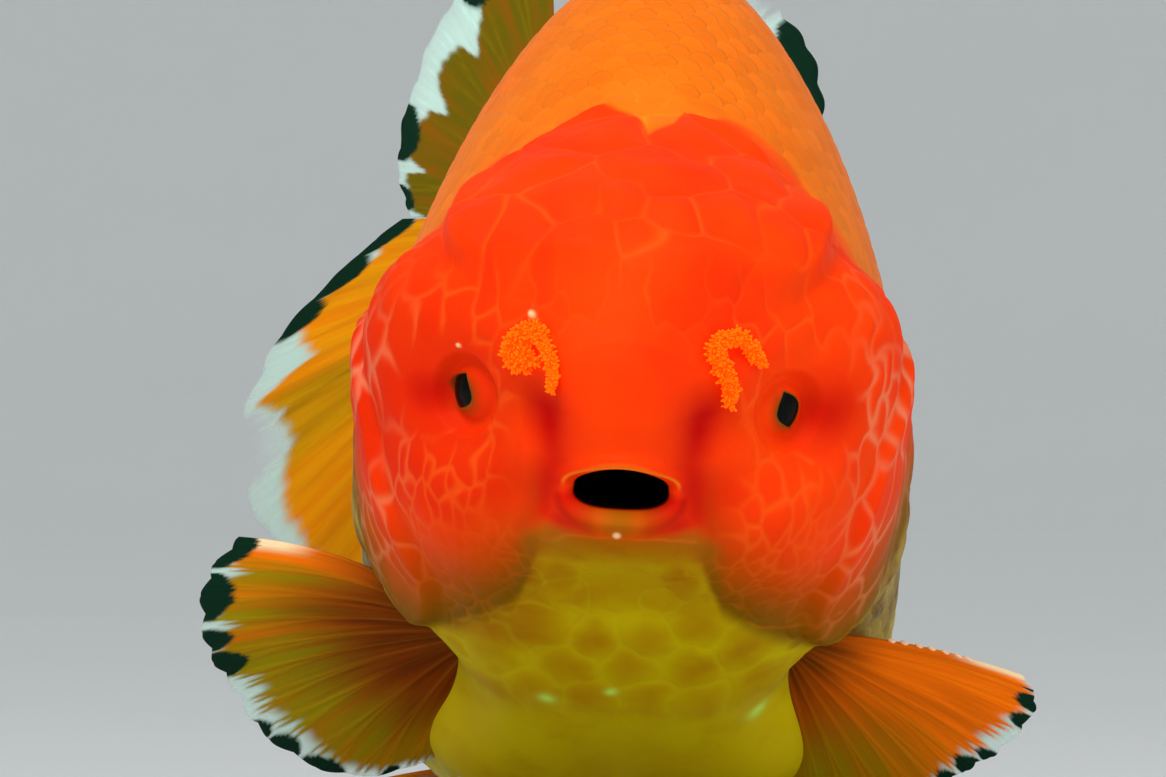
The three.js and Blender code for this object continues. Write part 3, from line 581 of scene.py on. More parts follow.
fold_red_and_shade = np.maximum(fold_red_and_shade, 0.85 * lower_lip * ease(1.5, 3.5, skin_side))
temporal = bell(np.hypot((forward + 5) * 0.8, upward + 0.8), 3.4) * (outward > 0)
# The right cheek lies in more shade than the left
cheek_shade = 0.42 * ease(9, 15, -skin_x) * ease(-10, -2, skin_z)
cheek_shade *= 1 - ease(12, 20, skin_z)
skin_flush_and_shade = np.maximum(np.maximum(fold_red_and_shade, 0.85 * temporal), cheek_shade)
skin_spot, skin_glow = np.zeros(len(skin_plain)), np.zeros(len(skin_plain))
for *at, size, height in PALE_SPOTS:
    far_back = skin_points[:, 1] > FRONT
    apart = np.linalg.norm(skin_points[:, ::2] - np.array(at), axis=1) / size + far_back * 9
    skin_spot = np.maximum(skin_spot, np.exp(-(apart**4)))
    skin_points += skin_normal * (height * bell(apart))[:, None]
for *at, size in BRIGHT_SPOTS:
    apart = np.linalg.norm(skin_points - np.array(at), axis=1) / size
    skin_glow = np.maximum(skin_glow, bell(apart))


def ring_faces(count, segments, start=0):
    """The faces of a closed body of rings between two end points, as quads and triangles."""
    ring = start + 1 + np.arange(count)[:, None] * segments + np.arange(segments)
    onward = np.roll(ring, -1, axis=1)
    quads = np.stack([ring[:-1], ring[1:], onward[1:], onward[:-1]], axis=-1).reshape(-1, 4)
    first, last = np.full(segments, start), np.full(segments, start + 1 + ring.size)
    front, back = [first, ring[0], onward[0]], [last, onward[-1], ring[-1]]
    return quads, np.concatenate([np.stack(cap, axis=-1) for cap in (front, back)])


def lofted(name, first, body, last):
    """A closed mesh of rings between two end points."""
    points = np.concatenate([[first], body.reshape(-1, 3), [last]])
    return made_mesh(name, points, *ring_faces(*body.shape[:2]))


def beads(name, middles, poles, firsts, seconds, rings, segments):
    """One mesh of many closed bodies, each with a long way from its middle and two short ones."""
    tilt = np.linspace(0, np.pi, rings + 2)[1:-1, None, None]
    turn = np.arange(segments)[:, None] * 2 * np.pi / segments
    points, faces = [], []
    for middle, pole, first, second in zip(middles, poles, firsts, seconds):
        ring = np.cos(tilt) * pole + np.sin(tilt) * (np.cos(turn) * first + np.sin(turn) * second)
        faces.append(ring_faces(rings, segments, len(points) * (2 + rings * segments)))
        points.append(middle + np.concatenate([[pole], ring.reshape(-1, 3), [-pole]]))
    return made_mesh(name, np.concatenate(points), *(np.concatenate(kind) for kind in zip(*faces)))


def made_mesh(name, points, quads=(), triangles=()):
    """A smooth-shaded object in the part's frame from points in the fish's millimetres."""
    mesh = bpy.data.meshes.new(name)
    corners = np.concatenate([np.ravel(quads), np.ravel(triangles)]).astype(np.int32)
    sizes = np.concatenate([np.full(len(quads), 4), np.full(len(triangles), 3)]).astype(np.int32)
    mesh.vertices.add(len(points))
    mesh.loops.add(len(corners))
    mesh.polygons.add(len(sizes))
    mesh.vertices.foreach_set("co", in_frame(np.asarray(points, float)).astype(np.float32).ravel())
    mesh.loops.foreach_set("vertex_index", corners)
    starts = np.concatenate([[0], np.cumsum(sizes)[:-1]]).astype(np.int32)
    mesh.polygons.foreach_set("loop_start", starts)
    mesh.update(calc_edges=True)
    mesh.validate()
    mesh.shade_smooth()
    made = bpy.data.objects.new(name, mesh)
    bpy.context.scene.collection.objects.link(made)
    return made


def painted(made, **shares):
    """Stores what the material reads on each of a mesh's points."""
    for name, values in shares.items():
        values = np.asarray(values, np.float32)
        kind = "FLOAT" if values.ndim == 1 else "FLOAT_VECTOR"
        attribute = made.data.attributes.new(name, kind, "POINT")
        attribute.data.foreach_set("value" if values.ndim == 1 else "vector", values.ravel())
    return made


ring_shape = (len(rings) - 1, SKIN_SEGMENTS, 3)
end_middle = bent(plain_skin(np.array([LAST, LAST]), np.array([np.pi / 2, -np.pi / 2])).mean(0))
skin = lofted("skin", np.array([0, 13.0, 0]), bent(skin_points).reshape(ring_shape), end_middle)
skin_shares = {
    "net": skin_net,
    "rim": eye_rim_and_shade,
    "flush_and_shade": skin_flush_and_shade,
    "spot": skin_spot,
    "glow": skin_glow,
    # The chest lobes' brown, with the throat's painted shade
    "dome": np.maximum(0.75 * cell_dome * throat_share, throat_shade),
    "outer": outer,
    "tint": rng.uniform(size=len(cells) + 1)[cell_which.astype(int)],
    **skin_masks,
}
# The mesh has one more point at each end than the rings' own
painted(skin, **{name: np.pad(values, 1, "edge") for name, values in skin_shares.items()})


class Socket:
    """A value in a material's node tree. Sums on it add the nodes that they stand for."""

    def __init__(self, tree, link=None):
        self.tree, self.link = tree, link

    def node(self, kind, settings, values, output=0):
        """Adds a node: its settings first, then its sockets' values or links."""
        made = self.tree.nodes.new("ShaderNode" + kind)
        for name, value in settings.items():
            setattr(made, name, value)
        for name, value in values.items():
            if isinstance(value, Socket):
                self.tree.links.new(value.link, made.inputs[name])
            elif value is not None:
                made.inputs[name].default_value = value
        return Socket(self.tree, made.outputs[output])

    def maths(self, operation, first, second):
        return self.node("Math", {"operation": operation}, {0: first, 1: second})

    def __add__(self, other):
        return self.maths("ADD", self, other)

    __radd__ = __add__

    def __mul__(self, other):
        return self.maths("MULTIPLY", self, other)

    __rmul__ = __mul__

    def __sub__(self, other):
        return self.maths("SUBTRACT", self, other)

    def __rsub__(self, other):
        return self.maths("SUBTRACT", other, self)

    def stored(self, name, vector=False):
        kept = {"attribute_name": name}
        return self.node("Attribute", kept, {}, "Vector" if vector else "Fac")

    def towards(self, first, second):
        """A colour between two, by this share."""
        ends = {0: self, 6: opaque(first), 7: opaque(second)}
        return self.node("Mix", {"data_type": "RGBA"}, ends, 2)

    def noise(self, scale, detail=3.0, place=None, stretch=(1, 1, 1)):
        """Soft noise, its scale in waves per metre, or per unit of the place that is given."""
        if place is None:
            place = self.node("TexCoord", {}, {}, "Object")
        place = self.node("VectorMath", {"operation": "MULTIPLY"}, {0: place, 1: stretch})
        return self.node("TexNoise", {}, {"Vector": place, "Scale": scale, "Detail": detail}, "Fac")

    def spread(self, low, high):
        """This value drawn out so that low becomes 0 and high 1."""
        ends = {"Value": self, "From Min": low, "From Max": high}
        return self.node("MapRange", {"interpolation_type": "SMOOTHSTEP"}, ends)

    def bump(self, height, distance_mm):
        return self.node("Bump", {}, {"Height": height, "Strength": 1.0, "Distance": distance_mm * MM})


def opaque(colour):
    return colour if isinstance(colour, Socket) else (*colour, 1)


def new_material(name, **plain):
    """A material, the root of its tree to build from, and its shader's plain settings."""
    material = bpy.data.materials.new(name)
    material.use_nodes = True
    tree = material.node_tree
    shader = tree.nodes["Principled BSDF"]
    for socket, value in plain.items():
        shader.inputs[socket.replace("_", " ")].default_value = value
    return material, Socket(tree), shader


def wired(root, shader, **values):
    for name, value in values.items():
        root.tree.links.new(value.link, shader.inputs[name.replace("_", " ")])


HOOD_RED = (1.0, 0.056, 0.0006)
HOOD_DEEP = (0.95, 0.024, 0.0003)
HOOD_FLUSH_AND_SHADE = (0.56, 0.002, 0.0003)
NET_ORANGE = (1.0, 0.17, 0.012)
NET_PINK_SHEEN = (0.86, 0.28, 0.13)
JOWL_BROWN_AND_SHADE = (0.19, 0.095, 0.0006)
BACK_ORANGE = (1.0, 0.14, 0.002)
BACK_GOLD = (1.0, 0.22, 0.006)
FLANK_OCHRE = (0.40, 0.27, 0.05)
FLANK_BROWN = (0.14, 0.05, 0.008)
THROAT_OLIVE = (0.52, 0.27, 0.0008)
THROAT_BROWN_AND_SHADE = (0.36, 0.085, 0.0005)
BELLY_GREEN = (0.62, 0.55, 0.001)
NET_YELLOW = (0.62, 0.62, 0.012)
LIP_PALE = (1.0, 0.26, 0.01)
CHIN_BROWN = (0.42, 0.11, 0.0008)
MOUTH_SHADOW = (0.0015, 0.001, 0.0008)
RIM_OLIVE_AND_SHADE = (0.17, 0.045, 0.001)
CREAM = (1.0, 0.62, 0.28)
GLOW_GREEN = (0.55, 0.86, 0.10)


def body_colour(root):
    """The markings that skin and scales share, from red hood to orange back and olive belly."""
    mottle = root.noise(90, 4)
    back = mottle.towards(BACK_ORANGE, BACK_GOLD)
    patches = root.noise(420, 4, stretch=(1, 0.5, 0.5)).spread(0.35, 0.7)
    flank = patches.towards(FLANK_OCHRE, FLANK_BROWN)
    flank = root.stored("back").towards(flank, back)
    under = (mottle * 0.7 + 0.05).towards(BELLY_GREEN, THROAT_OLIVE)
    return root.stored("belly").towards(flank, under)


skin_material, root, shader = new_material(
    "skin", Roughness=0.6, Specular_IOR_Level=0.04, Subsurface_Weight=0.1, Subsurface_Scale=0.003
)
deeper = root.noise(70, 3).spread(0.3, 0.75) * 0.6 + root.stored("tint") * 0.25
hood = deeper.towards(HOOD_RED, HOOD_DEEP)
# Deeper red, with painted shade in the folds and on the right cheek
hood = root.stored("flush_and_shade").towards(hood, HOOD_FLUSH_AND_SHADE)
# The jowls' brown, partly painted shade on the cheeks' undersides
hood = root.stored("jowl").towards(hood, JOWL_BROWN_AND_SHADE)
hood = root.stored("chin").towards(hood, CHIN_BROWN)
# Browner on the chest's lobes, and painted shade on the throat
brown_and_shade = root.stored("dome") * 0.6 + root.noise(160, 3).spread(0.45, 0.75) * 0.25
throat = brown_and_shade.towards(body_colour(root), THROAT_BROWN_AND_SHADE)
colour = root.stored("hood").towards(throat, hood)
# Pinker net on the head's far sides, a painted sheen
net = root.stored("outer").towards(NET_ORANGE, NET_PINK_SHEEN)
lines = root.stored("net") * root.stored("hood") * (0.72 - root.stored("jowl") * 0.32)
colour = lines.towards(colour, net)
colour = (root.stored("net") * (1 - root.stored("hood")) * 0.38).towards(colour, NET_YELLOW)
colour = (root.stored("lip") * 0.8).towards(colour, LIP_PALE)
# The eye's olive rim and the painted shade beside it
colour = (root.stored("rim") * 0.85).towards(colour, RIM_OLIVE_AND_SHADE)
colour = root.stored("glow").towards(colour, GLOW_GREEN)
colour = root.stored("spot").towards(colour, CREAM)
# Painted shadow inside the open mouth
colour = root.stored("mouth").towards(colour, MOUTH_SHADOW)
grain = root.noise(2600, 2)
wired(root, shader, Base_Color=colour, Normal=root.bump(grain, 0.03), Roughness=grain * 0.15 + 0.5)
skin.data.materials.append(skin_material)
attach(skin, "root")
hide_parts("head", "wen_crown", "gill_cover_left", "gill_cover_right", "trunk", "tail_stalk")

# The scales
# Thin bony plates in rows from behind the hood to the root of the tail, each one's front edge set
# in the skin and its rounded rear edge lying on the next. They are made in a left and a right half.
SCALE = {"pitch": 2.8, "wide": 1.16, "long": 1.35, "front": -0.14, "rear": 0.14, "skirt": 0.16}
SCALE_ROWS_FROM, SCALE_ROWS_TO = 9.6, 18.3
SCALE_SPOKES, SCALE_RINGS = 12, (0.5, 0.86, 1.0)
SCALE_PALE = (1.0, 0.28, 0.01)
SCALE_OLIVE = (0.62, 0.58, 0.14)


def flesh(station, angle):
    """Places on the body's skin behind the hood, and the directions straight out of it."""
    plain = plain_skin(station, angle)
    normal = outwards(station, angle)
    height = swollen(plain) - SKIN_INSET * ease(10, 11.5, station)
    return plain + normal * height[..., None], normal, plain


def scale_roots():
    """Where each scale sits: its station, its angle, and its pitch in mm."""
    fine = np.linspace(SCALE_ROWS_FROM, SCALE_ROWS_TO, 1500)
    pitch = SCALE["pitch"] * np.interp(fine, [9.6, 12, 15, 18.3], [0.95, 1.08, 0.95, 0.62])
    along = np.concatenate([[0], np.cumsum(walked(fine) / (0.8 * pitch[1:]))])
    turns = np.linspace(-np.pi / 2, 1.5 * np.pi, 361)
    roots = []
    for row in range(int(along[-1])):
        station = np.interp(row, along, fine)
        size = np.interp(station, fine, pitch)
        round_body = plain_skin(np.full(len(turns), station), turns)
        walk = np.concatenate([[0], np.cumsum(np.linalg.norm(np.diff(round_body, axis=0), axis=1))])
        count = 4 * int(round(walk[-1] / size / 4))
        places = (np.arange(count) + (0.5 if row % 2 else 0)) * walk[-1] / count
        for place in places:
            roots.append((station, np.interp(place, walk, turns), size))
    return np.array(roots)


def scale_meshes(roots):
    """The joined plates' points, faces, attributes and unwrap, one plate for each root."""
    station, angle, size = roots.T
    rearward, sideways = skin_ways(station, angle)
    side_length = np.linalg.norm(sideways, axis=1)
    lean = (rearward * sideways).sum(1) / side_length
    rear_length = np.sqrt(np.maximum((rearward**2).sum(1) - lean**2, 1e-6))
    spokes = np.arange(SCALE_SPOKES) * 2 * np.pi / SCALE_SPOKES
    disc = [(0.0, 0.0, 0.0)]
    for out in SCALE_RINGS:
        disc += [(out * np.cos(turn), out * np.sin(turn), out) for turn in spokes]
    disc += [(np.cos(turn), np.sin(turn), 1.0) for turn in spokes]
    disc = np.array(disc)
    skirt = np.arange(len(disc)) >= len(disc) - SCALE_SPOKES
    to_rear, to_side = disc[:, 0], disc[:, 1]
    reach_rear = to_rear * np.where(to_rear > 0, 0.62, 0.75) * SCALE["long"]
    reach_side = to_side * 0.5 * SCALE["wide"] * (1 - 0.18 * np.maximum(-to_rear, 0))
    rear_step = reach_rear * size[:, None]
    station_step = rear_step / rear_length[:, None]
    side_step = reach_side * size[:, None] - station_step * lean[:, None]
    places = np.clip(station[:, None] + station_step, 0, LAST - 0.2)
    turns = angle[:, None] + side_step / side_length[:, None]
    points, normals, plains = flesh(places, turns)
    rise = mix(SCALE["front"], SCALE["rear"], ease(-0.9, 0.9, to_rear))
    rise = rise * (1 - 0.25 * to_side**2) - np.where(disc[:, 2] > 0.95, 0.05, 0)
    rise = np.where(skirt, rise - SCALE["skirt"], rise)
    points = points + normals * rise[None, :, None]
    fan = [[0, 1 + i, 1 + (i + 1) % SCALE_SPOKES] for i in range(SCALE_SPOKES)]
    quads = []
    for ring in range(len(SCALE_RINGS)):
        start = 1 + ring * SCALE_SPOKES
        for i in range(SCALE_SPOKES):
            j = (i + 1) % SCALE_SPOKES
            quads.append([start + i, start + SCALE_SPOKES + i, start + SCALE_SPOKES + j, start + j])
    offsets = np.arange(len(roots))[:, None, None] * len(disc)
    markings = masks(plains.reshape(-1, 3), places.ravel())
    shares = {name: markings[name] for name in ("belly", "back")}
    rim = np.where(to_rear > -0.2, ease(0.7, 1.0, disc[:, 2]), 0)
    shares["edge"] = np.tile(rim, len(roots))
    shares["tint"] = np.repeat(rng.uniform(size=len(roots)), len(disc))
    patch = 0.0015 * np.stack([to_side, to_rear], axis=-1)
    unwrap = np.stack([0.02 + 0.96 * ((angle / (2 * np.pi)) % 1), 0.02 + 0.96 * station / LAST], axis=-1)
    places_on_map = (unwrap[:, None] + patch).reshape(-1, 2)
    return (
        points.reshape(-1, 3),
        (np.array(quads) + offsets).reshape(-1, 4),
        (np.array(fan) + offsets).reshape(-1, 3),
        shares,
        places_on_map,
    )


scale_material, root, shader = new_material(
    "scales", Roughness=0.5, Specular_IOR_Level=0.03, Subsurface_Weight=0.1, Subsurface_Scale=0.002
)
plate = root.stored("tint") * 0.14 + 0.86
colour = body_colour(root)
pale = (root.stored("back") * (1 - root.stored("belly"))).towards(SCALE_OLIVE, SCALE_PALE)
colour = (root.stored("edge") * 0.2 + root.noise(400, 3) * 0.1).towards(colour, pale)
shade = root.node("VectorMath", {"operation": "SCALE"}, {0: colour, "Scale": plate})
grain = root.noise(1800, 2)
wired(root, shader, Base_Color=shade, Normal=root.bump(grain, 0.04), Roughness=grain * 0.15 + 0.35)

roots = scale_roots()
root_plain = plain_skin(roots[:, 0], roots[:, 1])
root_masks = masks(root_plain, roots[:, 0])
covered = np.maximum(root_masks["hood"], inside_share(root_plain, GILL_COVER))
covered = np.maximum(covered, wen_share(root_plain))
roots = roots[(covered < 0.5) & (root_plain[:, 1] > 38 - 0.2 * root_plain[:, 2])]
root_plain = plain_skin(roots[:, 0], roots[:, 1])
for side, half in (("left", roots[root_plain[:, 0] >= 0]), ("right", roots[root_plain[:, 0] < 0])):
    points, quads, triangles, shares, unwrap = scale_meshes(half)
    coat = painted(made_mesh("scales_" + side, bent(points), quads, triangles), **shares)
    layer = coat.data.uv_layers.new(name="OFBake")
    corner = np.empty(len(coat.data.loops), np.int32)
    coat.data.loops.foreach_get("vertex_index", corner)
    layer.data.foreach_set("uv", unwrap[corner].astype(np.float32).ravel())
    coat.data.materials.append(scale_material)
    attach(coat, "root")

# The eyes
# Black pupils that fill the opening between the lids, with a thin line of olive gold round them.
EYE_RINGS, EYE_SEGMENTS = 90, 150
eye_material, root, shader = new_material("eye", Roughness=0.25, Specular_IOR_Level=0.04)
gaze = root.stored("gaze")
iris = (root.noise(1600, 3) * 0.8).towards((0.16, 0.06, 0.002), (0.30, 0.15, 0.004))
colour = gaze.spread(1.02, 1.08).towards((0.0025, 0.003, 0.002), iris)
colour = gaze.spread(1.1, 1.25).towards(colour, (0.12, 0.02, 0.001))
wired(root, shader, Base_Color=colour)
for side, mirror in (("left", 1), ("right", -1)):
    axis = eye_axis * (mirror, 1, 1)
    across = unit(np.cross(axis, (0, 0, 1)))
    upward = np.cross(across, axis)
    tilt = np.linspace(0, np.pi, EYE_RINGS + 1)[1:-1, None]
    turn = np.arange(EYE_SEGMENTS) * 2 * np.pi / EYE_SEGMENTS
    radius = EYE["radius"] * (1 - 0.02 * ease(np.radians(35), np.radians(50), tilt))
    middle = np.array(EYE["at"]) * (mirror, 1, 1)
    # The rings run the way that keeps both eyes' faces outward
    ball = axis * (radius * np.cos(tilt))[..., None]
    ball = ball + across * (radius * np.sin(tilt) * np.cos(turn))[..., None]
    ball = middle + ball - upward * (radius * np.sin(tilt) * np.sin(turn))[..., None]
    poles = middle + axis * EYE["radius"], middle - axis * EYE["radius"]
    eyeball = lofted("eyeball_" + side, poles[0], ball, poles[1])
    at = np.concatenate([poles[:1], ball.reshape(-1, 3), poles[1:]])
    gazes = lens(*over_lids(*eye_ring(at)[:2], at))
    painted(eyeball, gaze=np.where(eye_ring(at)[2] > 0, gazes, 2))
    eyeball.data.materials.append(eye_material)
    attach(eyeball, "root")
    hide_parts("eye_" + side)

# The narial bouquets
# The frilled flaps of soft skin that stand over the nostrils, each a crowd of small blunt fingers
# along a short curled stem. The stems' places are written as x, z and the crowd's width.
BOUQUETS = {
    "right": [
        (-8.2, 10.4, 0.5), (-8.1, 12.6, 0.8), (-8.9, 14.8, 1.0), (-10.3, 16.6, 1.2), (-11.9, 15.6, 1.6),
        (-12.8, 14.0, 1.8), (-11.9, 12.7, 1.7), (-10.8, 13.8, 1.9),
    ],
    "left": [
        (11.5, 9.1, 0.9), (11.5, 11.2, 1.2), (10.5, 13.4, 1.4), (9.7, 15.2, 1.4), (10.2, 16.4, 1.3),
        (11.6, 16.8, 1.2), (13.1, 15.9, 1.1), (13.9, 14.4, 1.0), (14.9, 13.4, 0.6),
    ],
}
FINGER = {
    "count": 1200, "radius": 0.17, "length": 0.4, "segments": 6, "rings": 3, "stand": 0.75, "seed": 23,
}
# The flaps glow faintly in their own colour, a painted light that lifts the shade between the fingers
bouquet_material, root, shader = new_material(
    "bouquet",
    Roughness=0.6,
    Emission_Strength=0.3,
    Specular_IOR_Level=0.03,
    Subsurface_Weight=0.4,
    Subsurface_Scale=0.003,
)
colour = (root.stored("tip") * 0.9).towards((1.0, 0.10, 0.0005), (1.0, 0.16, 0.001))
colour = (root.noise(900, 3) * 0.4).towards(colour, (1.0, 0.13, 0.004))
bumps = root.bump(root.noise(3000, 2), 0.03)
wired(root, shader, Base_Color=colour, Emission_Color=colour, Normal=bumps)
tilt = np.linspace(0, np.pi, FINGER["rings"] + 2)[1:-1]
finger_tip = np.concatenate([[1], np.repeat(0.5 + 0.5 * np.cos(tilt), FINGER["segments"]), [0]])
front = skin_points[(skin_station > 4) & (skin_points[:, 1] < FRONT)]
for side, stem_places in BOUQUETS.items():
    rng = np.random.default_rng(FINGER["seed"])
    share = rng.uniform(0, 1, FINGER["count"])
    path = np.array(stem_places)
    nearest = np.linalg.norm(front[:, None, ::2] - path[:, :2], axis=2).argmin(axis=0)
    depth = front[nearest, 1] - FINGER["stand"]
    stem = spline(np.stack([path[:, 0], depth, path[:, 1]], axis=1), share)
    width = np.interp(share, np.linspace(0, 1, len(path)), path[:, 2])
    way = unit(rng.normal(size=(FINGER["count"], 3)) * (1, 0.8, 1) - (0, 0.35, 0))
    size = FINGER["radius"] * rng.uniform(0.75, 1.25, FINGER["count"])
    base = stem + way * (width * rng.uniform(0.2, 0.9, FINGER["count"]))[:, None]
    first = unit(np.cross(way, rng.normal(size=way.shape)))
    second = np.cross(way, first)
    length, size = (size + FINGER["length"] * 0.5)[:, None], size[:, None]
    ways = way * length, first * size, second * size
    flap = beads("bouquet_" + side, base, *ways, FINGER["rings"], FINGER["segments"])
    painted(flap, tip=np.tile(finger_tip, FINGER["count"]))
    flap.data.materials.append(bouquet_material)
    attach(flap, "root")
    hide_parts("narial_bouquet_" + side)

# The fins
# Thin clear webs over branching bony rays, orange and olive near the body and dark green-black or
# milky at the edge. Each is one two-faced sheet over the solid's own fan of rays.
def other_side(fin):
    """A fin of the fish's right side as it is on its left."""
    root = [(-x, y, z) for x, y, z in fin["root"]]
    fan = [(180 - angle, lean, length) for angle, lean, length in fin["fan"]]
    return {**fin, "root": root, "fan": fan, "curl": -fin["curl"]}


PELVIC_FIN = {
    "root": [(-9.5, 51, -50.5), (-7, 57, -52.5)],
    "fan": [(196, 24, 23), (203, 34, 26), (214, 46, 26), (228, 57, 23), (245, 64, 19)],
    "rays": 7,
    "bow": 0.8,
    "curl": 1,
    "coloured": [(0, 0.9), (1, 0.85)],
    "orange": [(0, 0.5), (1, 0.3)],
    "olive": [(0, 0.3), (1, 0.5)],
    "deep": (0.2, 0.7),
    "fringe": 0.08,
    "black": [(0.1, 0.3, 0.9), (0.55, 0.75, 0.9)],
}
ANAL_FIN = {
    "root": [(-3.4, 103, -24), (-2.8, 109, -22)],
    "fan": [(258, 34, 13), (260, 46, 14), (262, 57, 13), (264, 66, 11)],
    "rays": 5,
    "bow": 0.4,
    "curl": 0.6,
    "coloured": [(0, 0.85), (1, 0.8)],
    "orange": [(0, 0.8), (1, 0.5)],
    "olive": [(0, 0.4), (1, 0.4)],
    "deep": (0.1, 0.5),
    "fringe": 0.05,
    "black": [(0.2, 0.5, 0.9)],
}
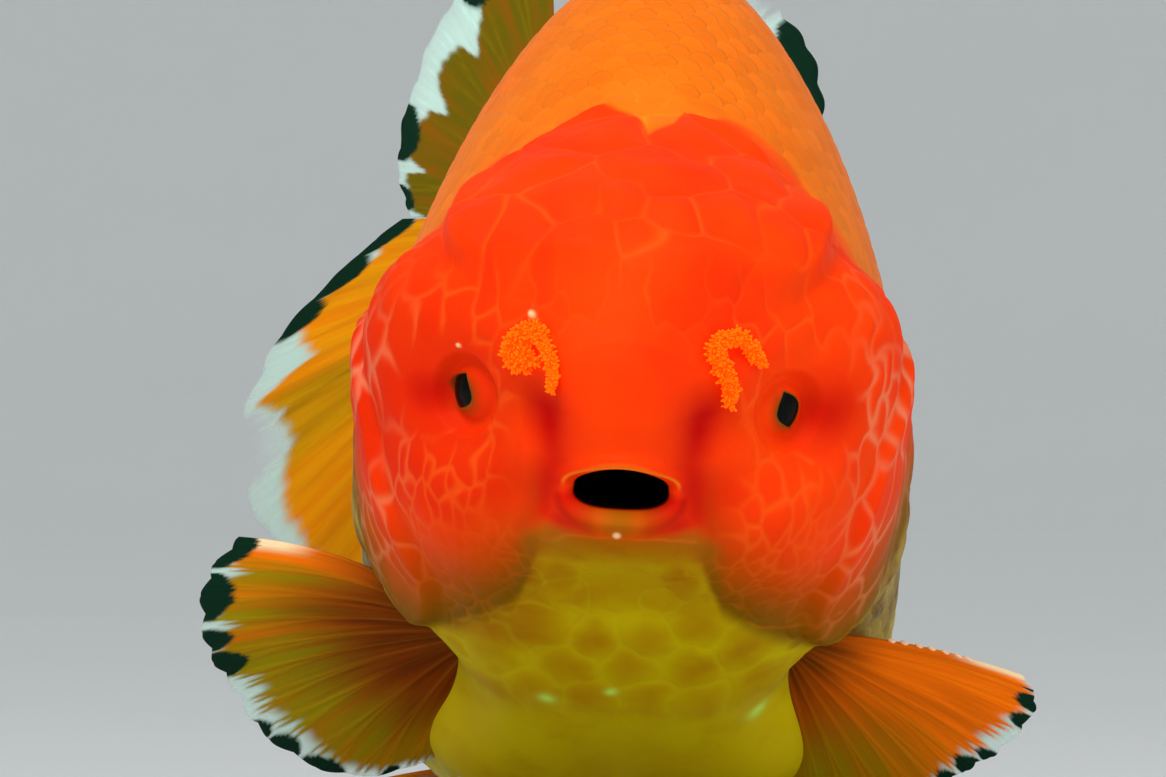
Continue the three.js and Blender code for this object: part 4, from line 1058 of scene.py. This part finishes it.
FINS = {
    "pectoral_fin_right": {
        "root": [(-18.6, 38.4, -28.6), (-16.6, 41, -33)],
        "fan": [
            (168, 15, 28.5), (180, 13, 32), (193, 13, 32.5), (203, 15, 31.5), (215, 16, 31),
            (235, 19, 27.5), (254, 22, 20), (270, 26, 15.5),
        ],
        "rays": 13,
        "bow": 2.2,
        "curl": -1.5,
        "coloured": [
            (0, 0.95), (0.09, 0.9), (0.105, 0.8), (0.125, 0.9), (0.22, 0.92), (0.24, 0.8), (0.26, 0.92),
            (0.38, 0.93), (0.42, 0.84), (0.52, 0.86), (0.6, 0.82), (0.7, 0.9), (1, 0.95),
        ],
        "orange": [
            (0, 1), (0.05, 1), (0.085, 0.9), (0.11, 0.3), (0.16, 0.7), (0.19, 0.7), (0.22, 0.1),
            (0.28, 0.5), (0.31, 0.1), (0.6, 0.15), (0.75, 0.35), (1, 0.1),
        ],
        "olive": [
            (0, 0.1), (0.06, 0.2), (0.11, 0.9), (0.17, 0.5), (0.22, 1), (0.28, 0.5), (0.33, 1),
            (0.6, 0.95), (0.8, 0.75), (1, 0.8),
        ],
        "deep": (0.3, 0.85),
        "fringe": 0.1,
        "black": [
            (-0.02, 0.1, 0.88), (0.11, 0.228, 0.86), (0.245, 0.303, 0.88), (0.305, 0.39, 0.86),
            (0.53, 0.578, 0.93), (0.58, 0.635, 0.9), (0.64, 0.71, 0.91), (0.765, 0.795, 0.92),
        ],
    },
    "pectoral_fin_left": {
        "root": [(20, 39, -28.2), (18.2, 41.4, -32.6)],
        "fan": [
            (-12, 14, 27.4), (-17, 12, 29.8), (-28, 12, 28.6), (-38, 13, 26.5), (-50, 15, 26),
            (-64, 18, 26), (-79, 22, 25.5), (-93, 26, 23),
        ],
        "rays": 13,
        "bow": 1,
        "curl": 1.5,
        "coloured": [(0, 0.97), (0.1, 0.93), (0.2, 0.9), (0.26, 0.86), (0.5, 0.9), (1, 0.92)],
        "orange": [(0, 1), (0.15, 1), (0.4, 0.85), (0.55, 0.5), (0.75, 0.1), (1, 0)],
        "olive": [(0, 0), (0.3, 0.05), (0.5, 0.35), (0.75, 0.9), (1, 1)],
        "deep": (0.0, 0.3),
        "fringe": 0.08,
        "black": [
            (0.07, 0.085, 0.94), (0.1, 0.165, 0.9), (0.175, 0.22, 0.91), (0.31, 0.355, 0.92),
            (0.362, 0.43, 0.9), (0.445, 0.5, 0.91), (0.6, 0.66, 0.92),
        ],
    },
    "pelvic_fin_right": PELVIC_FIN,
    "pelvic_fin_left": other_side(PELVIC_FIN),
    "anal_fin_right": ANAL_FIN,
    "anal_fin_left": other_side(ANAL_FIN),
    "caudal_upper_right": {
        "root": [(-1.6, 131, 1), (-2.6, 129, -6)],
        "fan": [(100, 64, 44), (117, 61, 42), (136, 56, 35), (158, 47, 28), (177, 34, 23), (188, 24, 19)],
        "rays": 7,
        "bow": 0,
        "curl": 2,
        "shared": 1,
        "coloured": [
            (0, 0.86), (0.2, 0.84), (0.3, 0.86), (0.34, 0.8), (0.42, 0.7), (0.44, 0.8), (0.5, 0.86),
            (0.56, 0.84), (0.61, 0.72), (0.63, 0.84), (0.7, 0.9), (0.77, 0.9), (0.8, 0.8), (0.82, 0.92),
            (0.97, 0.94), (1, 0.86),
        ],
        "orange": [(0, 0), (1, 0.1)],
        "olive": [(0, 1), (1, 1)],
        "dim": [(0, 0.45), (1, 0.45)],
        "deep": (0.05, 0.4),
        "fringe": 0.0,
        "black": [(0.05, 0.15, 0.88), (0.24, 0.37, 0.83), (0.64, 0.785, 0.87), (0.86, 0.97, 0.92)],
    },
    "caudal_lower_right": {
        "root": [(-2.6, 129, -6), (-1.6, 126, -13.5)],
        "fan": [
            (188, 24, 20), (197, 16, 28), (205, 10, 38), (213, 6, 46), (223, 4, 51), (234, 4, 52),
            (244, 7, 46), (254, 12, 40),
        ],
        "rays": 8,
        "bow": 0,
        "curl": 2,
        "shared": 0,
        "coloured": [
            (0, 0.86), (0.1, 0.88), (0.13, 0.84), (0.2, 0.9), (0.27, 0.93), (0.3, 0.87), (0.37, 0.78),
            (0.42, 0.94), (0.455, 0.84), (0.53, 0.82), (0.58, 0.88), (0.65, 0.9), (0.75, 0.93),
            (1, 0.94),
        ],
        "orange": [
            (0, 0.5), (0.3, 0.75), (0.4, 0.8), (0.44, 0.1), (0.53, 0.1), (0.56, 0.65), (0.8, 0.7),
            (1, 0.6),
        ],
        "olive": [(0, 0.35), (0.4, 0.2), (0.44, 0.9), (0.53, 0.8), (0.57, 0.2), (1, 0.3)],
        "dim": [(0, 0.6), (0.3, 0.8), (0.41, 0.9), (0.44, 0.45), (0.53, 0.5), (0.57, 0.9), (1, 1)],
        "gold": 0.45,
        "deep": (0.02, 0.35),
        "fringe": 0.015,
        "bare": (0.44, 0.56),
        "black": [(-0.02, 0.125, 0.86), (0.115, 0.225, 0.85), (0.215, 0.3, 0.87), (0.86, 0.96, 0.9)],
    },
    "caudal_upper_left": {
        "root": [(1.6, 131, 1), (2.6, 129, -6)],
        "fan": [(75, 64, 44), (55, 56, 42), (36, 46, 38), (19, 36, 35), (4, 28, 28), (-8, 22, 21)],
        "rays": 7,
        "bow": 0,
        "curl": 2,
        "shared": 1,
        "coloured": [
            (0, 0.84), (0.2, 0.88), (0.3, 0.76), (0.42, 0.86), (0.6, 0.76), (0.78, 0.88), (1, 0.86),
        ],
        "orange": [(0, 0.3), (1, 0.5)],
        "olive": [(0, 0.8), (1, 0.6)],
        "deep": (0.05, 0.4),
        "fringe": 0.0,
        "bare": (0.2, 0.42),
        "black": [(0.05, 0.2, 0.9), (0.42, 0.74, 0.84), (0.84, 0.95, 0.9)],
    },
    "caudal_lower_left": {
        "root": [(2.6, 129, -6), (1.6, 126, -13.5)],
        "fan": [
            (-8, 22, 21), (-18, 14, 30), (-26, 9, 40), (-34, 6, 47), (-43, 5, 51), (-53, 7, 50),
            (-64, 12, 45), (-75, 18, 39),
        ],
        "rays": 8,
        "bow": 0,
        "curl": 2,
        "shared": 0,
        "coloured": [
            (0, 0.85), (0.2, 0.88), (0.38, 0.76), (0.5, 0.9), (0.62, 0.76), (0.8, 0.84), (1, 0.86),
        ],
        "orange": [(0, 0.9), (0.5, 0.5), (1, 0.8)],
        "olive": [(0, 0.3), (0.5, 0.4), (1, 0.3)],
        "gold": 0.4,
        "deep": (0.02, 0.35),
        "fringe": 0.015,
        "black": [(0.04, 0.15, 0.87), (0.15, 0.27, 0.86), (0.6, 0.7, 0.92), (0.86, 0.97, 0.9)],
    },
}
FIN_STEPS, FIN_ROWS = 22, 64
FIN_THICK = {"web": (0.66, 0.26), "ray": (0.84, 0.32)}
# The gap in mm between sheets that share an edge, and the share of a fin that its slopes are taken over
FIN_GAP, FIN_STEP = 0.2, 0.004
FIN_BROWN = (0.12, 0.02, 0.0005)
FIN_RUST = (0.34, 0.06, 0.0008)
FIN_ORANGE = (1.0, 0.17, 0.001)
FIN_OLIVE = (0.29, 0.22, 0.0008)
FIN_GOLD = (1.0, 0.46, 0.002)
FIN_MILK = (0.60, 0.86, 0.76)
FIN_CREAM = (1.0, 0.72, 0.4)
FIN_BLACK = (0.002, 0.022, 0.010)


def fin_sheet(fin, across, along):
    """Places on a fin's middle, from its first ray to its last and from root to tip."""
    row = spline(fin["fan"], across, run_on=True)
    angle, lean, length = np.radians(row[..., 0]), np.radians(row[..., 1]), row[..., 2]
    flat = np.cos(lean)
    direction = np.stack([np.cos(angle) * flat, np.sin(lean), np.sin(angle) * flat], axis=-1)
    turning = np.stack([-np.sin(angle), np.zeros_like(angle), np.cos(angle)], axis=-1)
    face = unit(np.cross(direction, turning))
    sweep = np.sign(fin["fan"][-1][0] - fin["fan"][0][0])
    first, last = bent(np.array(fin["root"], float))
    middle = first + (last - first) * across[..., None]
    middle = middle + direction * (length * along)[..., None]
    first_rays = 4 * along * (1 - along) * (1 - across)
    middle = middle - turning * (sweep * fin["bow"] * first_rays)[..., None]
    return middle + face * (fin["curl"] * along**2)[..., None]


def fin_ways(fin, across, along):
    """The fin's ways over its rays and along them, at each point of its grid."""
    over = fin_sheet(fin, np.minimum(across + FIN_STEP, 1), along)
    over = over - fin_sheet(fin, np.maximum(across - FIN_STEP, 0), along)
    onward = fin_sheet(fin, across, along + FIN_STEP) - fin_sheet(fin, across, along - FIN_STEP)
    return over, onward


fin_material, root, shader = new_material(
    "fin", Roughness=0.6, Specular_IOR_Level=0.04, Subsurface_Weight=0.1, Subsurface_Scale=0.001
)
place = root.stored("place", vector=True)
streaks = root.noise(1.0, 3, place, (10, 1.2, 1)).spread(0.35, 0.65)
fine_streaks = root.noise(1.0, 3, place, (38, 2.0, 1)).spread(0.3, 0.7)
colour = (root.stored("orange") * (streaks * 0.5 + 0.62)).towards(FIN_RUST, FIN_ORANGE)
dimmed = root.node("VectorMath", {"operation": "SCALE"}, {0: FIN_OLIVE, "Scale": root.stored("dim")})
colour = (root.stored("olive") * (streaks * -0.4 + fine_streaks * 0.3 + 0.95)).towards(colour, dimmed)
colour = (root.stored("gold") * (fine_streaks * 0.6 + 0.6)).towards(colour, FIN_GOLD)
colour = (root.stored("deep") * (streaks * 0.3 + 0.7)).towards(colour, FIN_BROWN)
colour = (fine_streaks * root.stored("ray") * 0.08).towards(colour, FIN_GOLD)
colour = root.stored("cream").towards(colour, FIN_CREAM)
colour = root.stored("clear").towards(colour, FIN_MILK)
colour = root.stored("black").towards(colour, FIN_BLACK)
clearness = root.stored("clear") * (1 - root.stored("black"))
thin = root.stored("bare") * 0.35 + root.stored("outmost") * 0.25
veil = 1 - clearness * (0.52 + thin - root.stored("ray") * 0.2 - fine_streaks * 0.1)
height = root.stored("ray") * 0.12 + fine_streaks * 0.1
wired(root, shader, Base_Color=colour, Alpha=veil, Normal=root.bump(height, 0.15))

for number, (name, fin) in enumerate(FINS.items()):
    intervals = fin["rays"] - 1
    columns = np.linspace(0, 1, intervals * FIN_STEPS + 1)
    rows = np.linspace(0, 1, FIN_ROWS)
    across, share = np.meshgrid(columns, rows, indexing="ij")
    phase = across * intervals - np.round(across * intervals)
    # The edge is a row of rounded lobes, two to a ray, with notches in the web between rays
    edge = 0.993 - 0.016 * np.abs(2 * phase) ** 2.2 - 0.004 * bell(phase, 0.07)
    edge *= 1 - 0.01 * np.sin(across * 37 + number) ** 2
    along = share * edge
    over, onward = fin_ways(fin, across, along)
    pitch = np.linalg.norm(over, axis=-1) / (2 * FIN_STEP * intervals)
    first_split, second_split = ease(0.3, 1, along) * 0.21, ease(0.58, 1, along) * 0.09
    ray = np.zeros_like(along)
    for one in (-1, 1):
        for two in (-1, 1):
            off = (phase - one * first_split - two * second_split) * pitch
            ray = np.maximum(ray, bell(off, mix(0.3, 0.16, along)))
    ray *= 1 - 0.5 * ease(0.9, 1, along)
    middle = fin_sheet(fin, across, along)
    normal = unit(np.cross(onward, over))
    web, crest = (mix(low, high, along) for low, high in FIN_THICK.values())
    half = 0.5 * mix(web, crest, ray) * np.sqrt(np.clip((1 - share) * 12, 0.05, 1))
    if "shared" in fin:
        inner = np.abs(across - fin["shared"]) < 0.5 / (intervals * FIN_STEPS)
        away = 1 if fin["shared"] == 0 else -1
        middle = middle + unit(over) * (away * FIN_GAP * inner)[..., None]
    front, back = middle + normal * half[..., None], middle - normal * half[..., None]
    count, deep = across.shape
    index = np.arange(count * deep).reshape(count, deep)
    a, b, c, d = index[:-1, :-1], index[:-1, 1:], index[1:, 1:], index[1:, :-1]
    quads = [np.stack([a, b, c, d], -1), np.stack([a, d, c, b], -1) + count * deep]
    rim = np.concatenate([index[0], index[1:, -1], index[-1, -2::-1], index[-2:0:-1, 0]])
    after = np.roll(rim, -1)
    quads.append(np.stack([rim, rim + count * deep, after + count * deep, after], -1))
    quads = np.concatenate([q.reshape(-1, 4) for q in quads])
    fan = made_mesh(name + "_sheet", np.concatenate([front.reshape(-1, 3), back.reshape(-1, 3)]), quads)
    ripple = 0.012 * np.sin(across * 61 + number) * np.sin(across * 143)
    end = np.interp(across, *np.transpose(fin["coloured"])) + fin["fringe"] * (ray - 0.3) + ripple
    clear = ease(0.0, 0.04 + 0.5 * fin["fringe"], along - end)
    black = np.zeros_like(along)
    for low, high, start in fin["black"]:
        off_middle = np.abs(across - (low + high) / 2) / ((high - low) / 2)
        inner_edge = start + 0.6 * (1 - start) * off_middle**2.4 - 0.012 * ray + 0.4 * ripple
        patch = ease(-0.008, 0.01, along - inner_edge)
        black = np.maximum(black, patch * (1 - ease(0.94, 1.03, off_middle)))
    glow = np.interp(across, *np.transpose(fin["orange"])) * ease(0.1, 0.45, along)
    olive = np.interp(across, *np.transpose(fin["olive"])) * ease(0.25, 0.7, along)
    deep_root = 1 - ease(*fin["deep"], along + 0.06 * np.sin(across * 23))
    first_edge = (1 - ease(0.015, 0.05, across)) * ease(0.62, 0.8, along)
    bare = np.zeros_like(along)
    if "bare" in fin:
        first, last = fin["bare"]
        bare = ease(first - 0.02, first, across) * (1 - ease(last - 0.03, last, across))
    values = {
        "ray": ray,
        "clear": clear,
        "black": black,
        "orange": glow,
        "olive": olive,
        "deep": deep_root,
        "bare": bare,
        "outmost": ease(0.84, 1, along),
        "dim": np.interp(across, *np.transpose(fin.get("dim", [(0, 1), (1, 1)]))),
        "gold": 0 * along + fin.get("gold", 0),
        "cream": first_edge * name.startswith("pectoral"),
    }
    laid_out = np.stack([across * intervals / 6, along, across * 0 + number], -1).reshape(-1, 3)
    painted(fan, place=np.tile(laid_out, (2, 1)))
    painted(fan, **{key: np.tile(value.ravel(), 2) for key, value in values.items()})
    fan.data.materials.append(fin_material)
    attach(fan, "root")
    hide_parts(name)

# The white breeding tubercles on the left pectoral fin's first ray: places over and along the fin
TUBERCLES = [(0, 0.4), (0, 0.455), (0, 0.52), (0, 0.575), (0.003, 0.635), (0.006, 0.69), (0.008, 0.735)]
TUBERCLE = {"long": 0.5, "wide": 0.36, "rings": 7, "segments": 12}
tubercle_material, root, shader = new_material("tubercle", Roughness=0.5, Specular_IOR_Level=0.1)
chalk = root.noise(1500, 3).towards((1.0, 0.55, 0.30), (1.0, 0.74, 0.52))
wired(root, shader, Base_Color=chalk)
fan_left = FINS["pectoral_fin_left"]
across, along = np.array(TUBERCLES)[:, :, None].transpose(1, 0, 2)
here, on, over = np.moveaxis(fin_sheet(fan_left, across + (0, 0, 0.02), along + (0, 0.02, 0)), 1, 0)
onward, sideways = unit(on - here), unit(over - here)
outward = unit(np.cross(onward, sideways))
ways = TUBERCLE["long"] * onward, TUBERCLE["wide"] * sideways, TUBERCLE["wide"] * outward
shape = TUBERCLE["rings"], TUBERCLE["segments"]
tubercles = beads("tubercles_left", here - sideways * 0.05, *ways, *shape)
tubercles.data.materials.append(tubercle_material)
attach(tubercles, "root")

# The stand
# Two brushed steel rods, set in sockets, hold the fish over a rounded slab of oiled walnut.
walnut, root, shader = new_material("walnut", Roughness=0.5, Specular_IOR_Level=0.35)
warp = root.noise(9, 3, stretch=(1, 0.25, 1))
bands = root.noise(55, 5, stretch=(1, 0.06, 1)) + warp * 0.35
pores = root.noise(900, 2, stretch=(1, 0.04, 1)).spread(0.55, 0.7)
colour = bands.spread(0.35, 0.85).towards((0.045, 0.018, 0.008), (0.16, 0.075, 0.034))
colour = (pores * 0.5).towards(colour, (0.02, 0.009, 0.005))
bumps = root.bump(1 - pores * 0.5, 0.08)
wired(root, shader, Base_Color=colour, Normal=bumps, Roughness=pores * 0.2 + 0.42)
steel, root, shader = new_material("brushed steel", Metallic=1.0, Roughness=0.3)
brushing = root.noise(5200, 2, stretch=(1, 1, 0.02))
colour = brushing.towards((0.5, 0.51, 0.52), (0.66, 0.67, 0.68))
bumps = root.bump(brushing, 0.01)
wired(root, shader, Base_Color=colour, Normal=bumps, Roughness=brushing * 0.15 + 0.24)
for name, finish in (("stand_base", walnut), ("stand_rod_front", steel), ("stand_rod_rear", steel)):
    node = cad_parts[name]
    node.data.materials.clear()
    node.data.materials.append(finish)

# The floor and the light
# A wide pale floor that curves up into a wall far off, under a pale sky, with one broad soft lamp
# above and before the fish and a weaker one at its side.
FLOOR = {"flat": 5.0, "rise": 4.0, "wall": 8.0, "segments": 96, "rings": 24}
floor_turn = np.arange(FLOOR["segments"]) * 2 * np.pi / FLOOR["segments"]
arc = np.linspace(0, np.pi / 2, FLOOR["rings"])
profile = [(FLOOR["flat"] * share, 0.0) for share in (0.1, 0.4, 0.7)]
profile += [(FLOOR["flat"] + FLOOR["rise"] * np.sin(a), FLOOR["rise"] * (1 - np.cos(a))) for a in arc]
profile.append((FLOOR["flat"] + FLOOR["rise"], FLOOR["wall"]))
floor_points = [(0.0, 0.0, 0.0)]
for radius, height in profile:
    floor_points += [(radius * np.cos(a), radius * np.sin(a), height) for a in floor_turn]
count = FLOOR["segments"]
floor_faces = [(0, 1 + i, 1 + (i + 1) % count) for i in range(count)]
for ring in range(len(profile) - 1):
    inner, outer_ring = 1 + ring * count, 1 + (ring + 1) * count
    for i in range(count):
        j = (i + 1) % count
        floor_faces.append((inner + i, outer_ring + i, outer_ring + j, inner + j))
floor_mesh = bpy.data.meshes.new("floor")
floor_mesh.from_pydata(floor_points, [], floor_faces)
floor_mesh.shade_smooth()
floor = bpy.data.objects.new("floor", floor_mesh)
bpy.context.scene.collection.objects.link(floor)
floor_material, root, shader = new_material("floor", Roughness=0.9, Specular_IOR_Level=0.1)
paper = root.noise(3, 2).towards((0.87, 0.88, 0.88), (0.90, 0.91, 0.91))
wired(root, shader, Base_Color=paper)
floor.data.materials.append(floor_material)

sky = bpy.data.worlds.new("sky")
bpy.context.scene.world = sky
sky.use_nodes = True
sky.node_tree.nodes["Background"].inputs["Color"].default_value = (0.8, 0.83, 0.84, 1)
sky.node_tree.nodes["Background"].inputs["Strength"].default_value = 0.7
LAMPS = {
    "key": {"place": (-0.3, -0.8, 1.0), "size": 0.8, "watts": 11},
    "side": {"place": (0.9, -0.6, 0.4), "size": 0.6, "watts": 2},
}
for name, lamp in LAMPS.items():
    light = bpy.data.lights.new(name, "AREA")
    light.shape = "DISK"
    light.size, light.energy = lamp["size"], lamp["watts"]
    holder = bpy.data.objects.new(name, light)
    holder.location = lamp["place"]
    aim = Vector((0, 0, 0.07)) - holder.location
    holder.rotation_euler = aim.to_track_quat("-Z", "Y").to_euler()
    bpy.context.scene.collection.objects.link(holder)
bpy.context.scene.view_settings.view_transform = "Standard"
